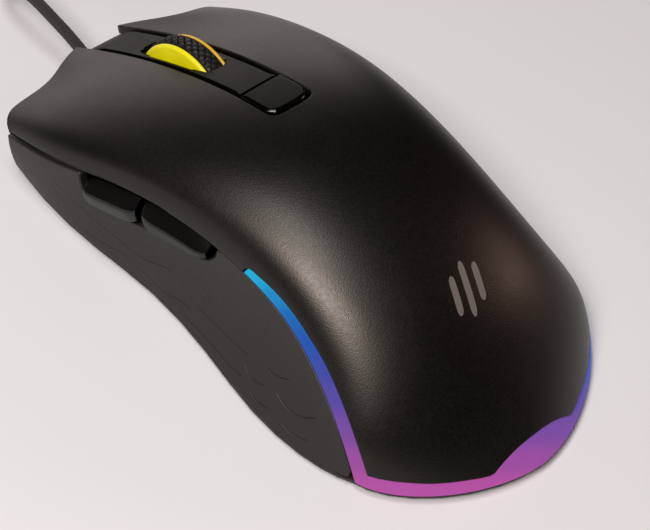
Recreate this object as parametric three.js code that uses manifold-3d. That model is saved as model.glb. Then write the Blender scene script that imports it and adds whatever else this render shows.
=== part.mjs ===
// A wired computer mouse with two main keys, a wheel, one centre button, two thumb buttons,
// a light strip round the tail and everything the case has to hold inside.
// Millimetres. Origin at the middle of the case on the desk plane, +X to the mouse's right,
// +Y towards the nose and the cable, +Z up.

import * as THREE from "three";
import { mergeVertices } from "three/addons/utils/BufferGeometryUtils.js";
import Module from "manifold-3d";

const wasm = await Module();
wasm.setup();

// ---------------------------------------------------------------- driving dimensions
// Crown line, rim line and foot line of the case, each at nine stations from nose to tail.
const CROWN_Y = [63.2, 46.4, 29.4, 12.3, -5.1, -23.4, -40.4, -54.0, -64.0];
const CROWN_Z = [16.6, 25.8, 32.8, 37.2, 38.2, 34.2, 26.0, 14.1, 2.6];
const RIM_X = [29.8, 31.5, 30.9, 29.4, 27.9, 27.6, 29.0, 30.9, 31.0];
const RIM_Y = [55.4, 41.4, 26.9, 12.3, -3.3, -18.2, -30.3, -39.0, -44.3];
const RIM_Z = [12.6, 17.3, 22.2, 25.2, 24.8, 21.7, 15.8, 9.7, 2.0];
const FOOT_X = [26.8, 29.0, 29.1, 28.6, 30.5, 33.5, 34.2, 32.9, 30.7];
// Exponents of each cross-section at nose, middle and tail; larger is squarer.
const ROUND_X = [2.23, 2.3, 1.73];
const ROUND_Z = [2.24, 2.35, 1.55];

const WALL = 1.8; // shell thickness
const GAP = 0.3; // running gap between separate pieces
const FLOOR_Z0 = 0.9; // underside of the case
const FLOOR_Z1 = 2.8; // inside face of the floor
const ON_FLOOR_Z = FLOOR_Z1 + GAP; // where parts on the floor start
const GRIP_Z = 1.9; // lower edge of the side grips
const FLEX_Y = 10.7; // line across the case that the two keys flex about
const STRIP_HALF = 5.5; // half width of the centre strip's channel

const BOARD_Z = 5.6; // underside of the main board
const BOARD_T = 1.6;
const BOARD_REST_Z = BOARD_Z - GAP; // top of what lies under the board
const PART_Z = BOARD_Z + BOARD_T + GAP; // where parts on the board start
const LENS_Y = -9;

const WHEEL_Y = 35;
const WHEEL_Z = 20.8;
const WHEEL_AXIS = [WHEEL_Y, WHEEL_Z];
const TYRE_R = 12.6; // crown of the tyre
const WHEEL_RIM_R = 12.05; // lit rims beside it

const SWITCH_TOP = 14.0; // top of the tall switches
const PLUNGER_TOP = 15.0;
const PRESS_Z = PLUNGER_TOP + GAP; // lower end of what presses on a plunger
const KEY_SWITCH_X = 16.5;
const KEY_PLUNGER_Y = 49.5;
const PRESS_SWITCH_X = 7.4; // switch under the wheel's axle
const DPI_AXIS = [0, 14]; // [x, y] of the centre button's stem
const STEM_BACK = [7.5, 21.3]; // [y, z] of the thumb buttons' stems
const STEM_FORWARD = [24.0, 17.8];

// Screw places [x, y] on the right; the left ones mirror them.
const LEG = [4.0, 51.5];
const REAR_BOSS = [16, -36];
const BOARD_POST = [13, -24];
const BOSS_TOP = 7.7; // top of the floor's screw bosses

const CABLE_EXIT = [0, 8.0]; // [x, z] of the cable where it leaves the nose

// ---------------------------------------------------------------- arithmetic
const SIDES = [-1, 1]; // left, right
const sideName = (side) => (side < 0 ? "left" : "right");
const onSide = (side, [x, y]) => [side * x, y];
const around = (centre, half) => [centre - half, centre + half];
const lerp = (a, b, t) => a + (b - a) * t;
const clamp = (t, low, high) => Math.max(low, Math.min(high, t));
const signedPower = (value, power) => Math.sign(value) * Math.pow(Math.abs(value), power);

// Natural cubic spline through evenly spaced values, over 0 to 1.
function spline(values) {
  const n = values.length;
  const bend = new Array(n).fill(0); // second derivatives
  const ratio = new Array(n).fill(0);
  const partial = new Array(n).fill(0);
  for (let i = 1; i < n - 1; i++) {
    const target = 6 * (values[i + 1] - 2 * values[i] + values[i - 1]);
    const pivot = 4 - ratio[i - 1];
    ratio[i] = 1 / pivot;
    partial[i] = (target - partial[i - 1]) / pivot;
  }
  for (let i = n - 2; i > 0; i--) bend[i] = partial[i] - ratio[i] * bend[i + 1];
  return (u) => {
    const s = u * (n - 1);
    const k = clamp(Math.floor(s), 0, n - 2);
    const b = s - k;
    const a = 1 - b;
    const bending = (a * a * a - a) * bend[k] + (b * b * b - b) * bend[k + 1];
    return a * values[k] + b * values[k + 1] + bending / 6;
  };
}

// Piecewise straight curve through [key, value] pairs, level beyond its ends.
function table(pairs) {
  return (t) => {
    if (t <= pairs[0][0]) return pairs[0][1];
    for (let i = 1; i < pairs.length; i++) {
      const [key0, value0] = pairs[i - 1];
      const [key1, value1] = pairs[i];
      if (t <= key1) return lerp(value0, value1, (t - key0) / (key1 - key0));
    }
    return pairs[pairs.length - 1][1];
  };
}

// Argument between low and high where a steadily rising or falling f reaches the target.
function solve(f, target, low, high) {
  const rising = f(high) > f(low);
  for (let i = 0; i < 50; i++) {
    const middle = (low + high) / 2;
    if (f(middle) < target === rising) low = middle;
    else high = middle;
  }
  return (low + high) / 2;
}

// 0 in the middle of the unit square, 1 on its border; a higher power keeps the rise nearer it.
function nearEdge(s, t, power) {
  return Math.pow(Math.max(Math.abs(2 * s - 1), Math.abs(2 * t - 1)), power);
}

// ---------------------------------------------------------------- shape of the case
// u runs from nose (0) to tail (1), v from left rim (-1) over the crown (0) to right rim (1).
const crownY = spline(CROWN_Y);
const crownZ = spline(CROWN_Z);
const rimX = spline(RIM_X);
const rimY = spline(RIM_Y);
const rimZ = spline(RIM_Z);
const footX = spline(FOOT_X);
const roundX = spline(ROUND_X);
const roundZ = spline(ROUND_Z);

const uAtCrownY = (y) => solve(crownY, y, 0, 1);
const uAtRimY = (y) => solve(rimY, y, 0, 1);
const U_FLEX = uAtCrownY(FLEX_Y);

// The right flank is a little fuller than the left one near the tail.
function flank(x, y) {
  if (x <= 0) return x;
  return x + 2.7 * Math.pow(x / 30, 2) * Math.exp(-Math.pow((y + 46) / 15, 2));
}

const angleAt = (v) => (Math.min(1, Math.abs(v)) * Math.PI) / 2;

// Point on the case's upper surface.
function surface(u, v) {
  const angle = angleAt(v);
  const x = Math.sign(v) * rimX(u) * Math.pow(Math.sin(angle), 2 / roundX(u));
  const fall = 1 - Math.pow(Math.max(0, Math.cos(angle)), 2 / roundZ(u));
  const y = lerp(crownY(u), rimY(u), fall);
  let z = lerp(crownZ(u), rimZ(u), fall);
  // each side dips a little at the very front
  const dipEnd = 0.14;
  if (u < dipEnd) {
    const offset = clamp((Math.abs(x) - 19) / 16, -1, 1);
    z -= 2.2 * Math.pow(1 - u / dipEnd, 2) * Math.pow(Math.cos((offset * Math.PI) / 2), 2);
  }
  return [flank(x, y), y, z];
}

function surfaceNormal(u, v) {
  const angle = angleAt(v);
  const sign = v < 0 ? -1 : 1;
  const n = roundX(u);
  const m = roundZ(u);
  // tangent across the case, from the cross-section's own derivatives
  const dx = rimX(u) * (2 / n) * Math.pow(Math.max(0, Math.cos(angle)), 2 - 2 / m);
  const dFall = (2 / m) * Math.pow(Math.sin(angle), 2 - 2 / n);
  const across = new THREE.Vector3(
    dx,
    sign * (rimY(u) - crownY(u)) * dFall,
    sign * (rimZ(u) - crownZ(u)) * dFall,
  );
  // tangent along the case, by differences
  const step = 0.002;
  const along = new THREE.Vector3(...surface(Math.min(1, u + step), v)).sub(
    new THREE.Vector3(...surface(Math.max(0, u - step), v)),
  );
  return along.cross(across).normalize().toArray();
}

function surfaceLifted(u, v, lift) {
  const normal = surfaceNormal(u, v);
  return surface(u, v).map((value, i) => value + normal[i] * lift);
}

// v where the surface is at x from the middle plane.
function vAtX(u, x) {
  const share = clamp(Math.abs(x) / rimX(u), 0, 1);
  return (Math.sign(x) * Math.asin(Math.pow(share, roundX(u) / 2))) / (Math.PI / 2);
}

// Height of the surface over plan position [x, y].
function heightOver([x, y]) {
  const at = (u) => surface(u, vAtX(u, x));
  return at(solve((u) => at(u)[1], y, 0, 1))[2];
}

// Side wall: distance from the middle plane at station u, height z; slightly hollowed.
function sideX(u, z) {
  const drop = clamp((rimZ(u) - z) / (rimZ(u) - 1.5), 0, 1);
  const hollow = 1.6 * Math.pow(Math.sin(Math.PI * clamp(u / 0.8, 0, 1)), 2);
  return lerp(rimX(u), footX(u), Math.pow(drop, 1.6)) - hollow * Math.sin(Math.PI * drop);
}

// Extra clearance under the rim; it grows towards the nose so the keys can be pressed.
const pressRoom = (y) => 0.0155 * Math.max(0, y - FLEX_Y);

// ---------------------------------------------------------------- solids
const quad = (a, b, c, d) => [[a, b, c], [a, c, d]];

// Closed mesh with its faces turned outward.
function closedMesh(points, faces) {
  const corners = points.map((p) => new THREE.Vector3(...p));
  let volume = 0;
  for (const [a, b, c] of faces) {
    volume += corners[a].dot(corners[b].clone().cross(corners[c]));
  }
  const turned = volume < 0 ? faces.map(([a, b, c]) => [a, c, b]) : faces;
  const g = new THREE.BufferGeometry();
  g.setAttribute("position", new THREE.Float32BufferAttribute(points.flat(), 3));
  g.setIndex(turned.flat());
  return g;
}

// A plate between two grids of points that share their layout.
// rows and cols are either a number of equal steps or a list of fractions.
function plate(rows, cols, outer, inner) {
  const fractions = (steps) =>
    Array.isArray(steps) ? steps : Array.from({ length: steps + 1 }, (_, i) => i / steps);
  const rowAt = fractions(rows);
  const colAt = fractions(cols);
  const nr = rowAt.length - 1;
  const nc = colAt.length - 1;
  const points = [outer, inner].flatMap((point) =>
    rowAt.flatMap((s, i) => colAt.map((r) => point(s, r, i))),
  );
  const at = (layer, i, j) => (layer * (nr + 1) + i) * (nc + 1) + j;
  const faces = [];
  for (let i = 0; i < nr; i++) {
    for (let j = 0; j < nc; j++) {
      faces.push(
        ...quad(at(0, i, j), at(0, i + 1, j), at(0, i + 1, j + 1), at(0, i, j + 1)),
        ...quad(at(1, i, j), at(1, i, j + 1), at(1, i + 1, j + 1), at(1, i + 1, j)),
      );
    }
  }
  for (let i = 0; i < nr; i++) {
    faces.push(
      ...quad(at(0, i, 0), at(1, i, 0), at(1, i + 1, 0), at(0, i + 1, 0)),
      ...quad(at(0, i, nc), at(0, i + 1, nc), at(1, i + 1, nc), at(1, i, nc)),
    );
  }
  for (let j = 0; j < nc; j++) {
    faces.push(
      ...quad(at(0, 0, j), at(0, 0, j + 1), at(1, 0, j + 1), at(1, 0, j)),
      ...quad(at(0, nr, j), at(1, nr, j), at(1, nr, j + 1), at(0, nr, j + 1)),
    );
  }
  return closedMesh(points, faces);
}

function box([x0, x1], [y0, y1], [z0, z1]) {
  const g = new THREE.BoxGeometry(x1 - x0, y1 - y0, z1 - z0);
  return g.translate((x0 + x1) / 2, (y0 + y1) / 2, (z0 + z1) / 2);
}

// Round bars along each axis: the ends, the place in the other two axes, radius, segments.
function rodX([x0, x1], [y, z], radius, segments) {
  const g = new THREE.CylinderGeometry(radius, radius, x1 - x0, segments);
  return g.rotateZ(-Math.PI / 2).translate((x0 + x1) / 2, y, z);
}
function rodY([y0, y1], [x, z], radius, segments, endRadius = radius) {
  const g = new THREE.CylinderGeometry(endRadius, radius, y1 - y0, segments);
  return g.translate(x, (y0 + y1) / 2, z);
}
function rodZ([z0, z1], [x, y], radius, segments) {
  const g = new THREE.CylinderGeometry(radius, radius, z1 - z0, segments);
  return g.rotateX(Math.PI / 2).translate(x, y, (z0 + z1) / 2);
}

function extrude(outline, depth) {
  const shape = new THREE.Shape(outline.map(([a, b]) => new THREE.Vector2(a, b)));
  return new THREE.ExtrudeGeometry(shape, { depth, bevelEnabled: false });
}
// Flat outline in X, Y pulled up from z0 to z1.
function slab(outline, z0, z1) {
  return extrude(outline, z1 - z0).translate(0, 0, z0);
}
// Outline in Y, Z pulled along X from x0 to x1.
function slabX(outline, x0, x1) {
  const turn = new THREE.Matrix4().set(0, 0, 1, x0, 1, 0, 0, 0, 0, 1, 0, 0, 0, 0, 0, 1);
  return extrude(outline, x1 - x0).applyMatrix4(turn);
}

// Soft-cornered outline; a smaller power makes the corners squarer.
function softOutline([x, y], [halfX, halfY], count, power) {
  return Array.from({ length: count }, (_, i) => {
    const t = (i / count) * 2 * Math.PI;
    return [
      x + halfX * signedPower(Math.cos(t), power),
      y + halfY * signedPower(Math.sin(t), power),
    ];
  });
}

// Closed profile [radius, x] turned about the wheel's axis.
function turnedOnWheelAxis(profile, segments) {
  const n = profile.length;
  const points = [];
  const faces = [];
  for (let i = 0; i < segments; i++) {
    const t = (i / segments) * 2 * Math.PI;
    const here = i * n;
    const next = ((i + 1) % segments) * n;
    profile.forEach(([radius, x], j) => {
      const k = (j + 1) % n;
      points.push([x, WHEEL_Y + radius * Math.cos(t), WHEEL_Z + radius * Math.sin(t)]);
      faces.push(...quad(here + j, here + k, next + k, next + j));
    });
  }
  return closedMesh(points, faces);
}

// Round bar along a smooth path.
function sweep(path, radius, rings, segments) {
  const curve = new THREE.CatmullRomCurve3(
    path.map((p) => new THREE.Vector3(...p)),
    false,
    "centripetal",
  );
  const { normals, binormals } = curve.computeFrenetFrames(rings, false);
  const points = [];
  for (let i = 0; i <= rings; i++) {
    const centre = curve.getPointAt(i / rings);
    for (let j = 0; j < segments; j++) {
      const t = (j / segments) * 2 * Math.PI;
      const p = centre
        .clone()
        .addScaledVector(normals[i], radius * Math.cos(t))
        .addScaledVector(binormals[i], radius * Math.sin(t));
      points.push(p.toArray());
    }
  }
  const faces = [];
  const at = (ring, j) => ring * segments + (j % segments);
  for (let i = 0; i < rings; i++) {
    for (let j = 0; j < segments; j++) {
      faces.push(...quad(at(i, j), at(i, j + 1), at(i + 1, j + 1), at(i + 1, j)));
    }
  }
  for (const ring of [0, rings]) {
    const centre = points.length;
    points.push(curve.getPointAt(ring / rings).toArray());
    for (let j = 0; j < segments; j++) {
      const a = at(ring, j);
      const b = at(ring, j + 1);
      faces.push(ring === 0 ? [centre, b, a] : [centre, a, b]);
    }
  }
  return closedMesh(points, faces);
}

// ---------------------------------------------------------------- joining and cutting
function toManifold(g) {
  const bare = g.clone();
  for (const key of Object.keys(bare.attributes)) {
    if (key !== "position") bare.deleteAttribute(key);
  }
  const welded = mergeVertices(bare, 1e-4);
  return new wasm.Manifold(
    new wasm.Mesh({
      numProp: 3,
      vertProperties: new Float32Array(welded.attributes.position.array),
      triVerts: new Uint32Array(welded.index.array),
    }),
  );
}

function toGeometry(manifold) {
  const { numProp, vertProperties, triVerts } = manifold.getMesh();
  const positions = [];
  for (let i = 0; i < vertProperties.length; i += numProp) {
    positions.push(...vertProperties.slice(i, i + 3));
  }
  const g = new THREE.BufferGeometry();
  g.setAttribute("position", new THREE.Float32BufferAttribute(positions, 3));
  g.setIndex(Array.from(triVerts));
  return g;
}

// Joins the first list, then cuts the second from it.
function make(add, cut = []) {
  let body = toManifold(add[0]);
  for (const g of add.slice(1)) body = body.add(toManifold(g));
  for (const g of cut) body = body.subtract(toManifold(g));
  return toGeometry(body);
}

// ---------------------------------------------------------------- the assembly
const group = new THREE.Group();
group.name = "computer_mouse";

const FINISHES = {
  shell: { color: 0x17181a, roughness: 0.55, metalness: 0 },
  satin: { color: 0x0d0d0e, roughness: 0.35, metalness: 0 },
  grip: { color: 0x2a2827, roughness: 0.85, metalness: 0 },
  base: { color: 0x121213, roughness: 0.6, metalness: 0 },
  guide: { color: 0xc8b8ff, roughness: 0.3, metalness: 0 },
  lime: { color: 0xe6dc00, roughness: 0.35, metalness: 0 },
  tyre: { color: 0x0b0b0b, roughness: 0.9, metalness: 0 },
  board: { color: 0x0f4d2c, roughness: 0.5, metalness: 0 },
  chip: { color: 0x15151a, roughness: 0.5, metalness: 0 },
  nylon: { color: 0xd8d8d2, roughness: 0.5, metalness: 0 },
  red: { color: 0xb01818, roughness: 0.4, metalness: 0 },
  steel: { color: 0xb8babd, roughness: 0.3, metalness: 1 },
  clear: { color: 0xdde8ee, roughness: 0.1, metalness: 0 },
  led: { color: 0xf4f2e6, roughness: 0.3, metalness: 0 },
  skate: { color: 0x1d1d1f, roughness: 0.4, metalness: 0 },
  braid: { color: 0x1a1918, roughness: 0.8, metalness: 0 },
};

function part(name, g, finish) {
  const mesh = new THREE.Mesh(g, new THREE.MeshStandardMaterial(FINISHES[finish]));
  mesh.name = name;
  group.add(mesh);
}

// ---- bottom shell: a lip under the grips, a thicker plate inside them, a nose wall and posts
const noseX = (v, half) => signedPower(Math.sin((v * Math.PI) / 2), 0.9) * half;

// Outline of the floor: left side, tail, right side, nose.
function footprint(sideInset, noseInset, tailInset) {
  const noseU = 0.03;
  const tailU = 0.985;
  const left = [];
  for (let i = 0; i <= 14; i++) {
    const u = lerp(noseU, tailU, i / 14);
    left.push([-(footX(u) - sideInset), rimY(u)]);
  }
  const right = left.map(([x, y]) => [flank(-x, y), y]).reverse();
  const tail = [];
  for (let i = 1; i < 16; i++) {
    const v = lerp(-1, 1, i / 16);
    const [x, y] = surface(1, v);
    const [nx, ny] = surfaceNormal(1, v);
    const scale = tailInset / Math.hypot(nx, ny);
    tail.push([x - nx * scale, y - ny * scale]);
  }
  const nose = [];
  for (let i = 1; i < 14; i++) {
    const v = lerp(1, -1, i / 14);
    nose.push([noseX(v, footX(noseU) - sideInset), surface(0, v)[1] - noseInset]);
  }
  return [
    ...left,
    ...tail.filter(([, y]) => y < rimY(tailU) - 0.8),
    ...right,
    ...nose.filter(([, y]) => y > rimY(noseU) + 0.5),
  ];
}

// Wall standing just behind the front edge, leaning back.
function noseWall() {
  const face = (half, setback) => (s, t) => {
    const v = lerp(-1, 1, s);
    return [noseX(v, half), surface(0, v)[1] - setback - 1.2 * t, lerp(1.2, 14.0, t)];
  };
  return plate(20, 1, face(24.6, 3.4), face(23.0, 5.4));
}

function bottomShell() {
  const add = [
    slab(footprint(0.4, 3.2, 0.7), FLOOR_Z0, 1.6),
    slab(footprint(2.95, 4.4, 3.8), FLOOR_Z0, FLOOR_Z1),
    noseWall(),
  ];
  const cut = [
    box(around(0, 5.5), around(LENS_Y, 4.5), [0, 4]), // sensor window
    rodY([50, 66], CABLE_EXIT, 3.5, 24),
  ];
  // boss with a recess for the screw's head and a bore for its shank
  const screwBoss = (place, radius) => {
    add.push(rodZ([1.5, BOSS_TOP], place, radius, 18));
    cut.push(rodZ([0, 2.6], place, 2.25, 18), rodZ([2, 9], place, 1.15, 14));
  };
  for (const side of SIDES) {
    screwBoss(onSide(side, LEG), 2.9);
    screwBoss(onSide(side, REAR_BOSS), 3.2);
    // posts that carry the main board, the rear ones drilled from above
    const post = onSide(side, BOARD_POST);
    add.push(rodZ([2, BOARD_REST_Z], post, 2.4, 16));
    cut.push(rodZ([3.1, 6], post, 1.1, 12));
    add.push(rodZ([2, BOARD_REST_Z], [side * 18.5, 36], 2.2, 16));
  }
  return make(add, cut);
}
part("bottom_shell", bottomShell(), "base");

// ---- border between the top cover and the light guide
const GUIDE_START = 0.533; // u where the guide's arms start
const CORNER_U = 0.962; // u where the arms and the side grips end
const GUIDE_CORNER_V = 0.848;
const COVER_CORNER_V = 0.855;
const ARM_ROWS = [0.563, 0.6, 0.64, 0.69, 0.74, 0.79, 0.84, 0.885, 0.925]; // shared rows, in u

// [u, v] along each arm
const armV = table([
  [0.537, 0.935],
  [0.563, 0.92],
  [0.597, 0.9],
  [0.632, 0.89],
  [0.673, 0.885],
  [0.722, 0.87],
  [0.785, 0.865],
  [0.84, 0.86],
  [0.9, 0.855],
  [CORNER_U, GUIDE_CORNER_V],
]);
// [v, u] across the tail, from the middle outwards, with the lens bump in the middle
const tailU = table([
  ...Array.from({ length: 10 }, (_, i) => {
    const q = i / 9;
    return [0.27 * q, 0.981 - 0.031 * Math.pow(1 - Math.pow(q, 2.4), 1.05)];
  }),
  [0.4, 0.977],
  [0.53, 0.973],
  [0.64, 0.968],
  [0.74, 0.965],
  [COVER_CORNER_V, 0.962],
]);

// ---- top cover, from the flex line to the light guide
function topCover() {
  const frontU = U_FLEX + 0.0028;
  const rearU = (v) => tailU(Math.abs(v)) - 0.0036;
  const sideV = (u) => (u < GUIDE_START - 1e-6 ? 0.996 : armV(u) - 0.009);

  // notch in the front edge for the rear of the centre button
  const notchU = uAtCrownY(9.15);
  const notchV = vAtX(U_FLEX, STRIP_HALF + 0.25) * 1.02;

  // columns closer together round the notch
  const half = [
    ...[0, 0.5, 0.8, 0.94, 1].map((k) => k * notchV),
    ...[0.06, 0.16, 0.28, 0.42, 0.56, 0.7, 0.83, 0.93, 1].map((k) => lerp(notchV, 1, k)),
  ];
  const mirrored = half.slice(1).reverse();
  const cols = [...mirrored.map((k) => (1 - k) / 2), ...half.map((k) => (1 + k) / 2)];

  // rows closer together where the light guide starts
  const lastU = rearU(COVER_CORNER_V);
  const rowOf = (u) => (u - frontU) / (lastU - frontU);
  const rows = [
    0,
    0.04,
    (0.04 + rowOf(0.5285)) / 2,
    ...[0.5285, GUIDE_START, 0.537, ...ARM_ROWS].map(rowOf),
    1,
  ];

  const layer = (lift) => (s, r) => {
    const w = lerp(-1, 1, r);
    const notch = Math.min(1, Math.abs(w) / notchV);
    const startU = lerp(frontU, notchU, Math.sqrt(1 - Math.pow(notch, 4)));
    const u = lerp(startU, rearU(w * COVER_CORNER_V), s);
    return surfaceLifted(u, w * sideV(clamp(u, 0, CORNER_U)), lift);
  };
  const add = [plate(rows, cols, layer(0), layer(-WALL))];
  const cut = [];
  for (const side of SIDES) {
    const place = onSide(side, REAR_BOSS);
    add.push(rodZ([BOSS_TOP + GAP, heightOver(place) - 3.2], place, 2.6, 16));
    cut.push(rodZ([7, 14], place, 1.15, 12));
  }
  return make(add, cut);
}
part("top_cover", topCover(), "shell");

// ---- main keys, each with a post over its switch
function mainKey(side) {
  const innerV = (u) => vAtX(u, STRIP_HALF + 0.32);
  const rimV = 0.997;
  const rearU = U_FLEX - 0.0012;
  // front edge, set back round x = 18.3 and again beyond x = 26
  const frontU = (x) => {
    const dent = 0.03 * Math.exp(-Math.pow((x - 18.3) / 7.6, 2));
    const corner = 0.001 * Math.pow(Math.max(0, x - 26), 1.5);
    return dent + corner + 0.0005;
  };
  const layer = (lift) => (s, r) => {
    const [frontX] = surface(0.01, lerp(innerV(0.01), rimV, r));
    const u = lerp(frontU(frontX), rearU, s);
    return surfaceLifted(u, side * lerp(innerV(u), rimV, r), lift);
  };
  const place = [side * KEY_SWITCH_X, KEY_PLUNGER_Y];
  return make([
    plate(14, 11, layer(0), layer(-WALL)),
    rodZ([PRESS_Z, heightOver(place) - 1.5], place, 1.6, 14),
  ]);
}
for (const side of SIDES) part(`${sideName(side)}_key`, mainKey(side), "shell");

// ---- centre strip with the wheel slot and two legs
function centreStrip() {
  const frontU = uAtCrownY(60.6);
  const rearU = uAtCrownY(18.75);
  const half = STRIP_HALF - 0.55;
  // [u, depth below the case's surface]
  const sink = table([
    [0.15, 0.5],
    [0.33, 0.1],
  ]);
  const layer = (depth) => (s, r) => {
    const u = lerp(frontU, rearU, s);
    const x = lerp(-half, half, r);
    const [, y, z] = surface(u, vAtX(u, x));
    return [x, y, z - sink(u) - depth];
  };
  const legs = SIDES.map((side) => {
    const place = onSide(side, LEG);
    return rodZ([BOSS_TOP + GAP, heightOver(place) - 2.2], place, 1.6, 14);
  });
  const legBores = SIDES.map((side) => rodZ([7, 13], onSide(side, LEG), 1.05, 12));
  const slot = slab(softOutline([0, 38.9], [3.5, 9.1], 20, 0.45), 5, 50);
  const wheelRoom = rodX(around(0, 3.5), WHEEL_AXIS, TYRE_R + 0.4, 40);
  return make([plate(18, 6, layer(0), layer(2.0)), ...legs], [slot, wheelRoom, ...legBores]);
}
part("centre_strip", centreStrip(), "satin");

// ---- light guide: a band down the left side, round the tail with its lens, up the right side
function lightGuide() {
  const startU = GUIDE_START + 0.0055;
  // each station is the [u, v] of the band's inner edge and of its rim edge
  const stations = [startU, 0.5405, 0.546, ...ARM_ROWS, CORNER_U].map((u) => {
    const t = (u - startU) / (CORNER_U - startU);
    const widening = Math.sqrt(clamp((u - startU) / 0.006, 0, 1));
    return [
      [u, -lerp(0.985, armV(u) + 0.004, widening)],
      [lerp(startU, 1, Math.pow(t, 1.04)), -0.994],
    ];
  });
  const tailSteps = 10; // from a rear corner to the middle of the tail
  for (let i = 1; i <= tailSteps; i++) {
    const v = lerp(GUIDE_CORNER_V, 0, i / tailSteps);
    stations.push([
      [tailU(v) + 0.0016, -v],
      [1, i / tailSteps - 1],
    ]);
  }
  const mirrored = stations
    .slice(0, -1)
    .reverse()
    .map((edges) => edges.map(([u, v]) => [u, -v]));
  const all = [...stations, ...mirrored];

  const uvAt = (i, r) => {
    const [inner, rim] = all[i];
    return [lerp(inner[0], rim[0], r), lerp(inner[1], rim[1], r)];
  };
  const outside = (s, r, i) => surface(...uvAt(i, r));
  // the band's inside face stays clear of the floor
  const inside = (s, r, i) => {
    const [x, y, z] = surfaceLifted(...uvAt(i, r), -1.5);
    return [x, y, Math.max(z, Math.min(outside(s, r, i)[2], FLOOR_Z0 + 1.05))];
  };
  return plate(all.length - 1, 2, outside, inside);
}
part("light_guide", lightGuide(), "guide");

// ---- side grips
function sideGrip(side) {
  const layer = (depth) => (s, r) => {
    const u = lerp(0.004, CORNER_U, s);
    const y = rimY(u);
    const z = lerp(rimZ(u) - 0.42 - pressRoom(y), GRIP_Z, r);
    const x = sideX(u, z);
    return [(side < 0 ? -x : flank(x, y)) - side * depth, y, z];
  };
  return plate(22, 5, layer(0), layer(WALL));
}
// [y, z] outline of the opening for the thumb buttons, reaching above the rim
const THUMB_OPENING = [
  [32.7, 30], [32.6, 17], [32.1, 14.2], [31.0, 13.1], [28.6, 13.2], [24.0, 14.1], [18.2, 15.2],
  [10.0, 17.1], [5.6, 18.1], [2.7, 18.9], [0.8, 20.1], [-0.4, 22.2], [-0.8, 30],
];
part("left_side_grip", make([sideGrip(-1)], [slabX(THUMB_OPENING, -40, -20)]), "grip");
part("right_side_grip", sideGrip(1), "grip");

// ---- thumb buttons, standing proud of the left side
// y and lowZ are given at the rear end, then at the front end.
function thumbButton({ y: [rearY, frontY], lowZ: [rearLow, frontLow], stem }) {
  const innerX = -26.0;
  // columns run from rear to front, rows from the rim down
  const placeAt = (s, t) => {
    const y = lerp(rearY, frontY, s);
    const round = Math.pow(Math.abs(2 * s - 1), 6);
    const high = rimZ(uAtRimY(y)) - 0.55 - pressRoom(y) - 0.6 * round;
    const low = lerp(rearLow, frontLow, s) + 1.6 * round;
    return [y, lerp(high, low, t)];
  };
  const outer = (s, t) => {
    const [y, z] = placeAt(s, t);
    const u = uAtRimY(y);
    // widest below the middle, where the top face meets the outer face
    const ridge = 1.8 * Math.sin(Math.PI * Math.pow(0.1 + 0.8 * t, 1.35));
    const proud = ridge * (1 - 0.45 * nearEdge(s, t, 8));
    return [-(sideX(u, Math.min(z, rimZ(u))) + proud), y, z];
  };
  const inner = (s, t) => [innerX, ...placeAt(s, t)];
  return make([plate(10, 6, outer, inner), rodX([-26.6, -23.2], stem, 1.4, 14)]);
}
const FORWARD_BUTTON = { y: [18.2, 31.8], lowZ: [15.8, 13.0], stem: STEM_FORWARD };
const BACK_BUTTON = { y: [0.8, 17.0], lowZ: [19.7, 16.0], stem: STEM_BACK };
part("forward_button", thumbButton(FORWARD_BUTTON), "satin");
part("back_button", thumbButton(BACK_BUTTON), "satin");

// ---- bracket inboard of the thumb buttons, standing on the floor
function sideButtonFrame() {
  const wallX = [-25.0, -23.8];
  return make(
    [
      box(wallX, [-3.4, 33.6], [10.5, 19.5]),
      box(wallX, [-2.5, 31.0], [10.5, 24.6]),
      box(wallX, [30.5, 34.6], [ON_FLOOR_Z, 18.5]),
      box(wallX, [-5.2, -2.0], [ON_FLOOR_Z, 24.0]),
    ],
    [STEM_BACK, STEM_FORWARD].map((stem) => rodX([-27, -22], stem, 1.8, 18)),
  );
}
part("side_button_frame", sideButtonFrame(), "base");

// ---- centre button with its long stem
function dpiButton() {
  const frontU = uAtCrownY(18.3);
  const half = STRIP_HALF - 0.15;
  const crown = 0.35; // how far the middle stands proud
  const uvAt = (s, r) => {
    const x = lerp(-half, half, r);
    const q = Math.abs(x) / half;
    const rearY = 9.9 + 1.9 * (1 - Math.sqrt(Math.max(0, 1 - Math.pow(q, 3.4))));
    const u = lerp(uAtCrownY(rearY), frontU, s);
    return [u, vAtX(u, x)];
  };
  const cap = plate(
    8,
    6,
    (s, r) => surfaceLifted(...uvAt(s, r), crown * (1 - nearEdge(s, r, 6))),
    (s, r) => surfaceLifted(...uvAt(s, r), -2.0),
  );
  const stemTop = heightOver([0.001, DPI_AXIS[1]]) - 1.0;
  return make([cap, rodZ([12.3, stemTop], DPI_AXIS, 1.5, 14)]);
}
part("dpi_button", dpiButton(), "satin");

// ---- wheel: hub with lit rims and axle, tyre, encoder, bush that rides on the press switch
// Closed profiles, [radius, x].
const HUB_PROFILE = [
  [1.2, -1.9], [3.2, -1.9], [3.2, -2.95], [11.8, -2.95],
  [WHEEL_RIM_R, -2.65], [WHEEL_RIM_R, -2.05], [10.3, -2.05],
  [10.3, 2.05], [WHEEL_RIM_R, 2.05], [WHEEL_RIM_R, 2.65],
  [11.8, 2.95], [3.2, 2.95], [3.2, 1.9], [1.2, 1.9],
];
const TYRE_PROFILE = [
  [10.6, -1.75], [12.1, -1.75], [TYRE_R, -1.1],
  [TYRE_R, 1.1], [12.1, 1.75], [10.6, 1.75],
];

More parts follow.
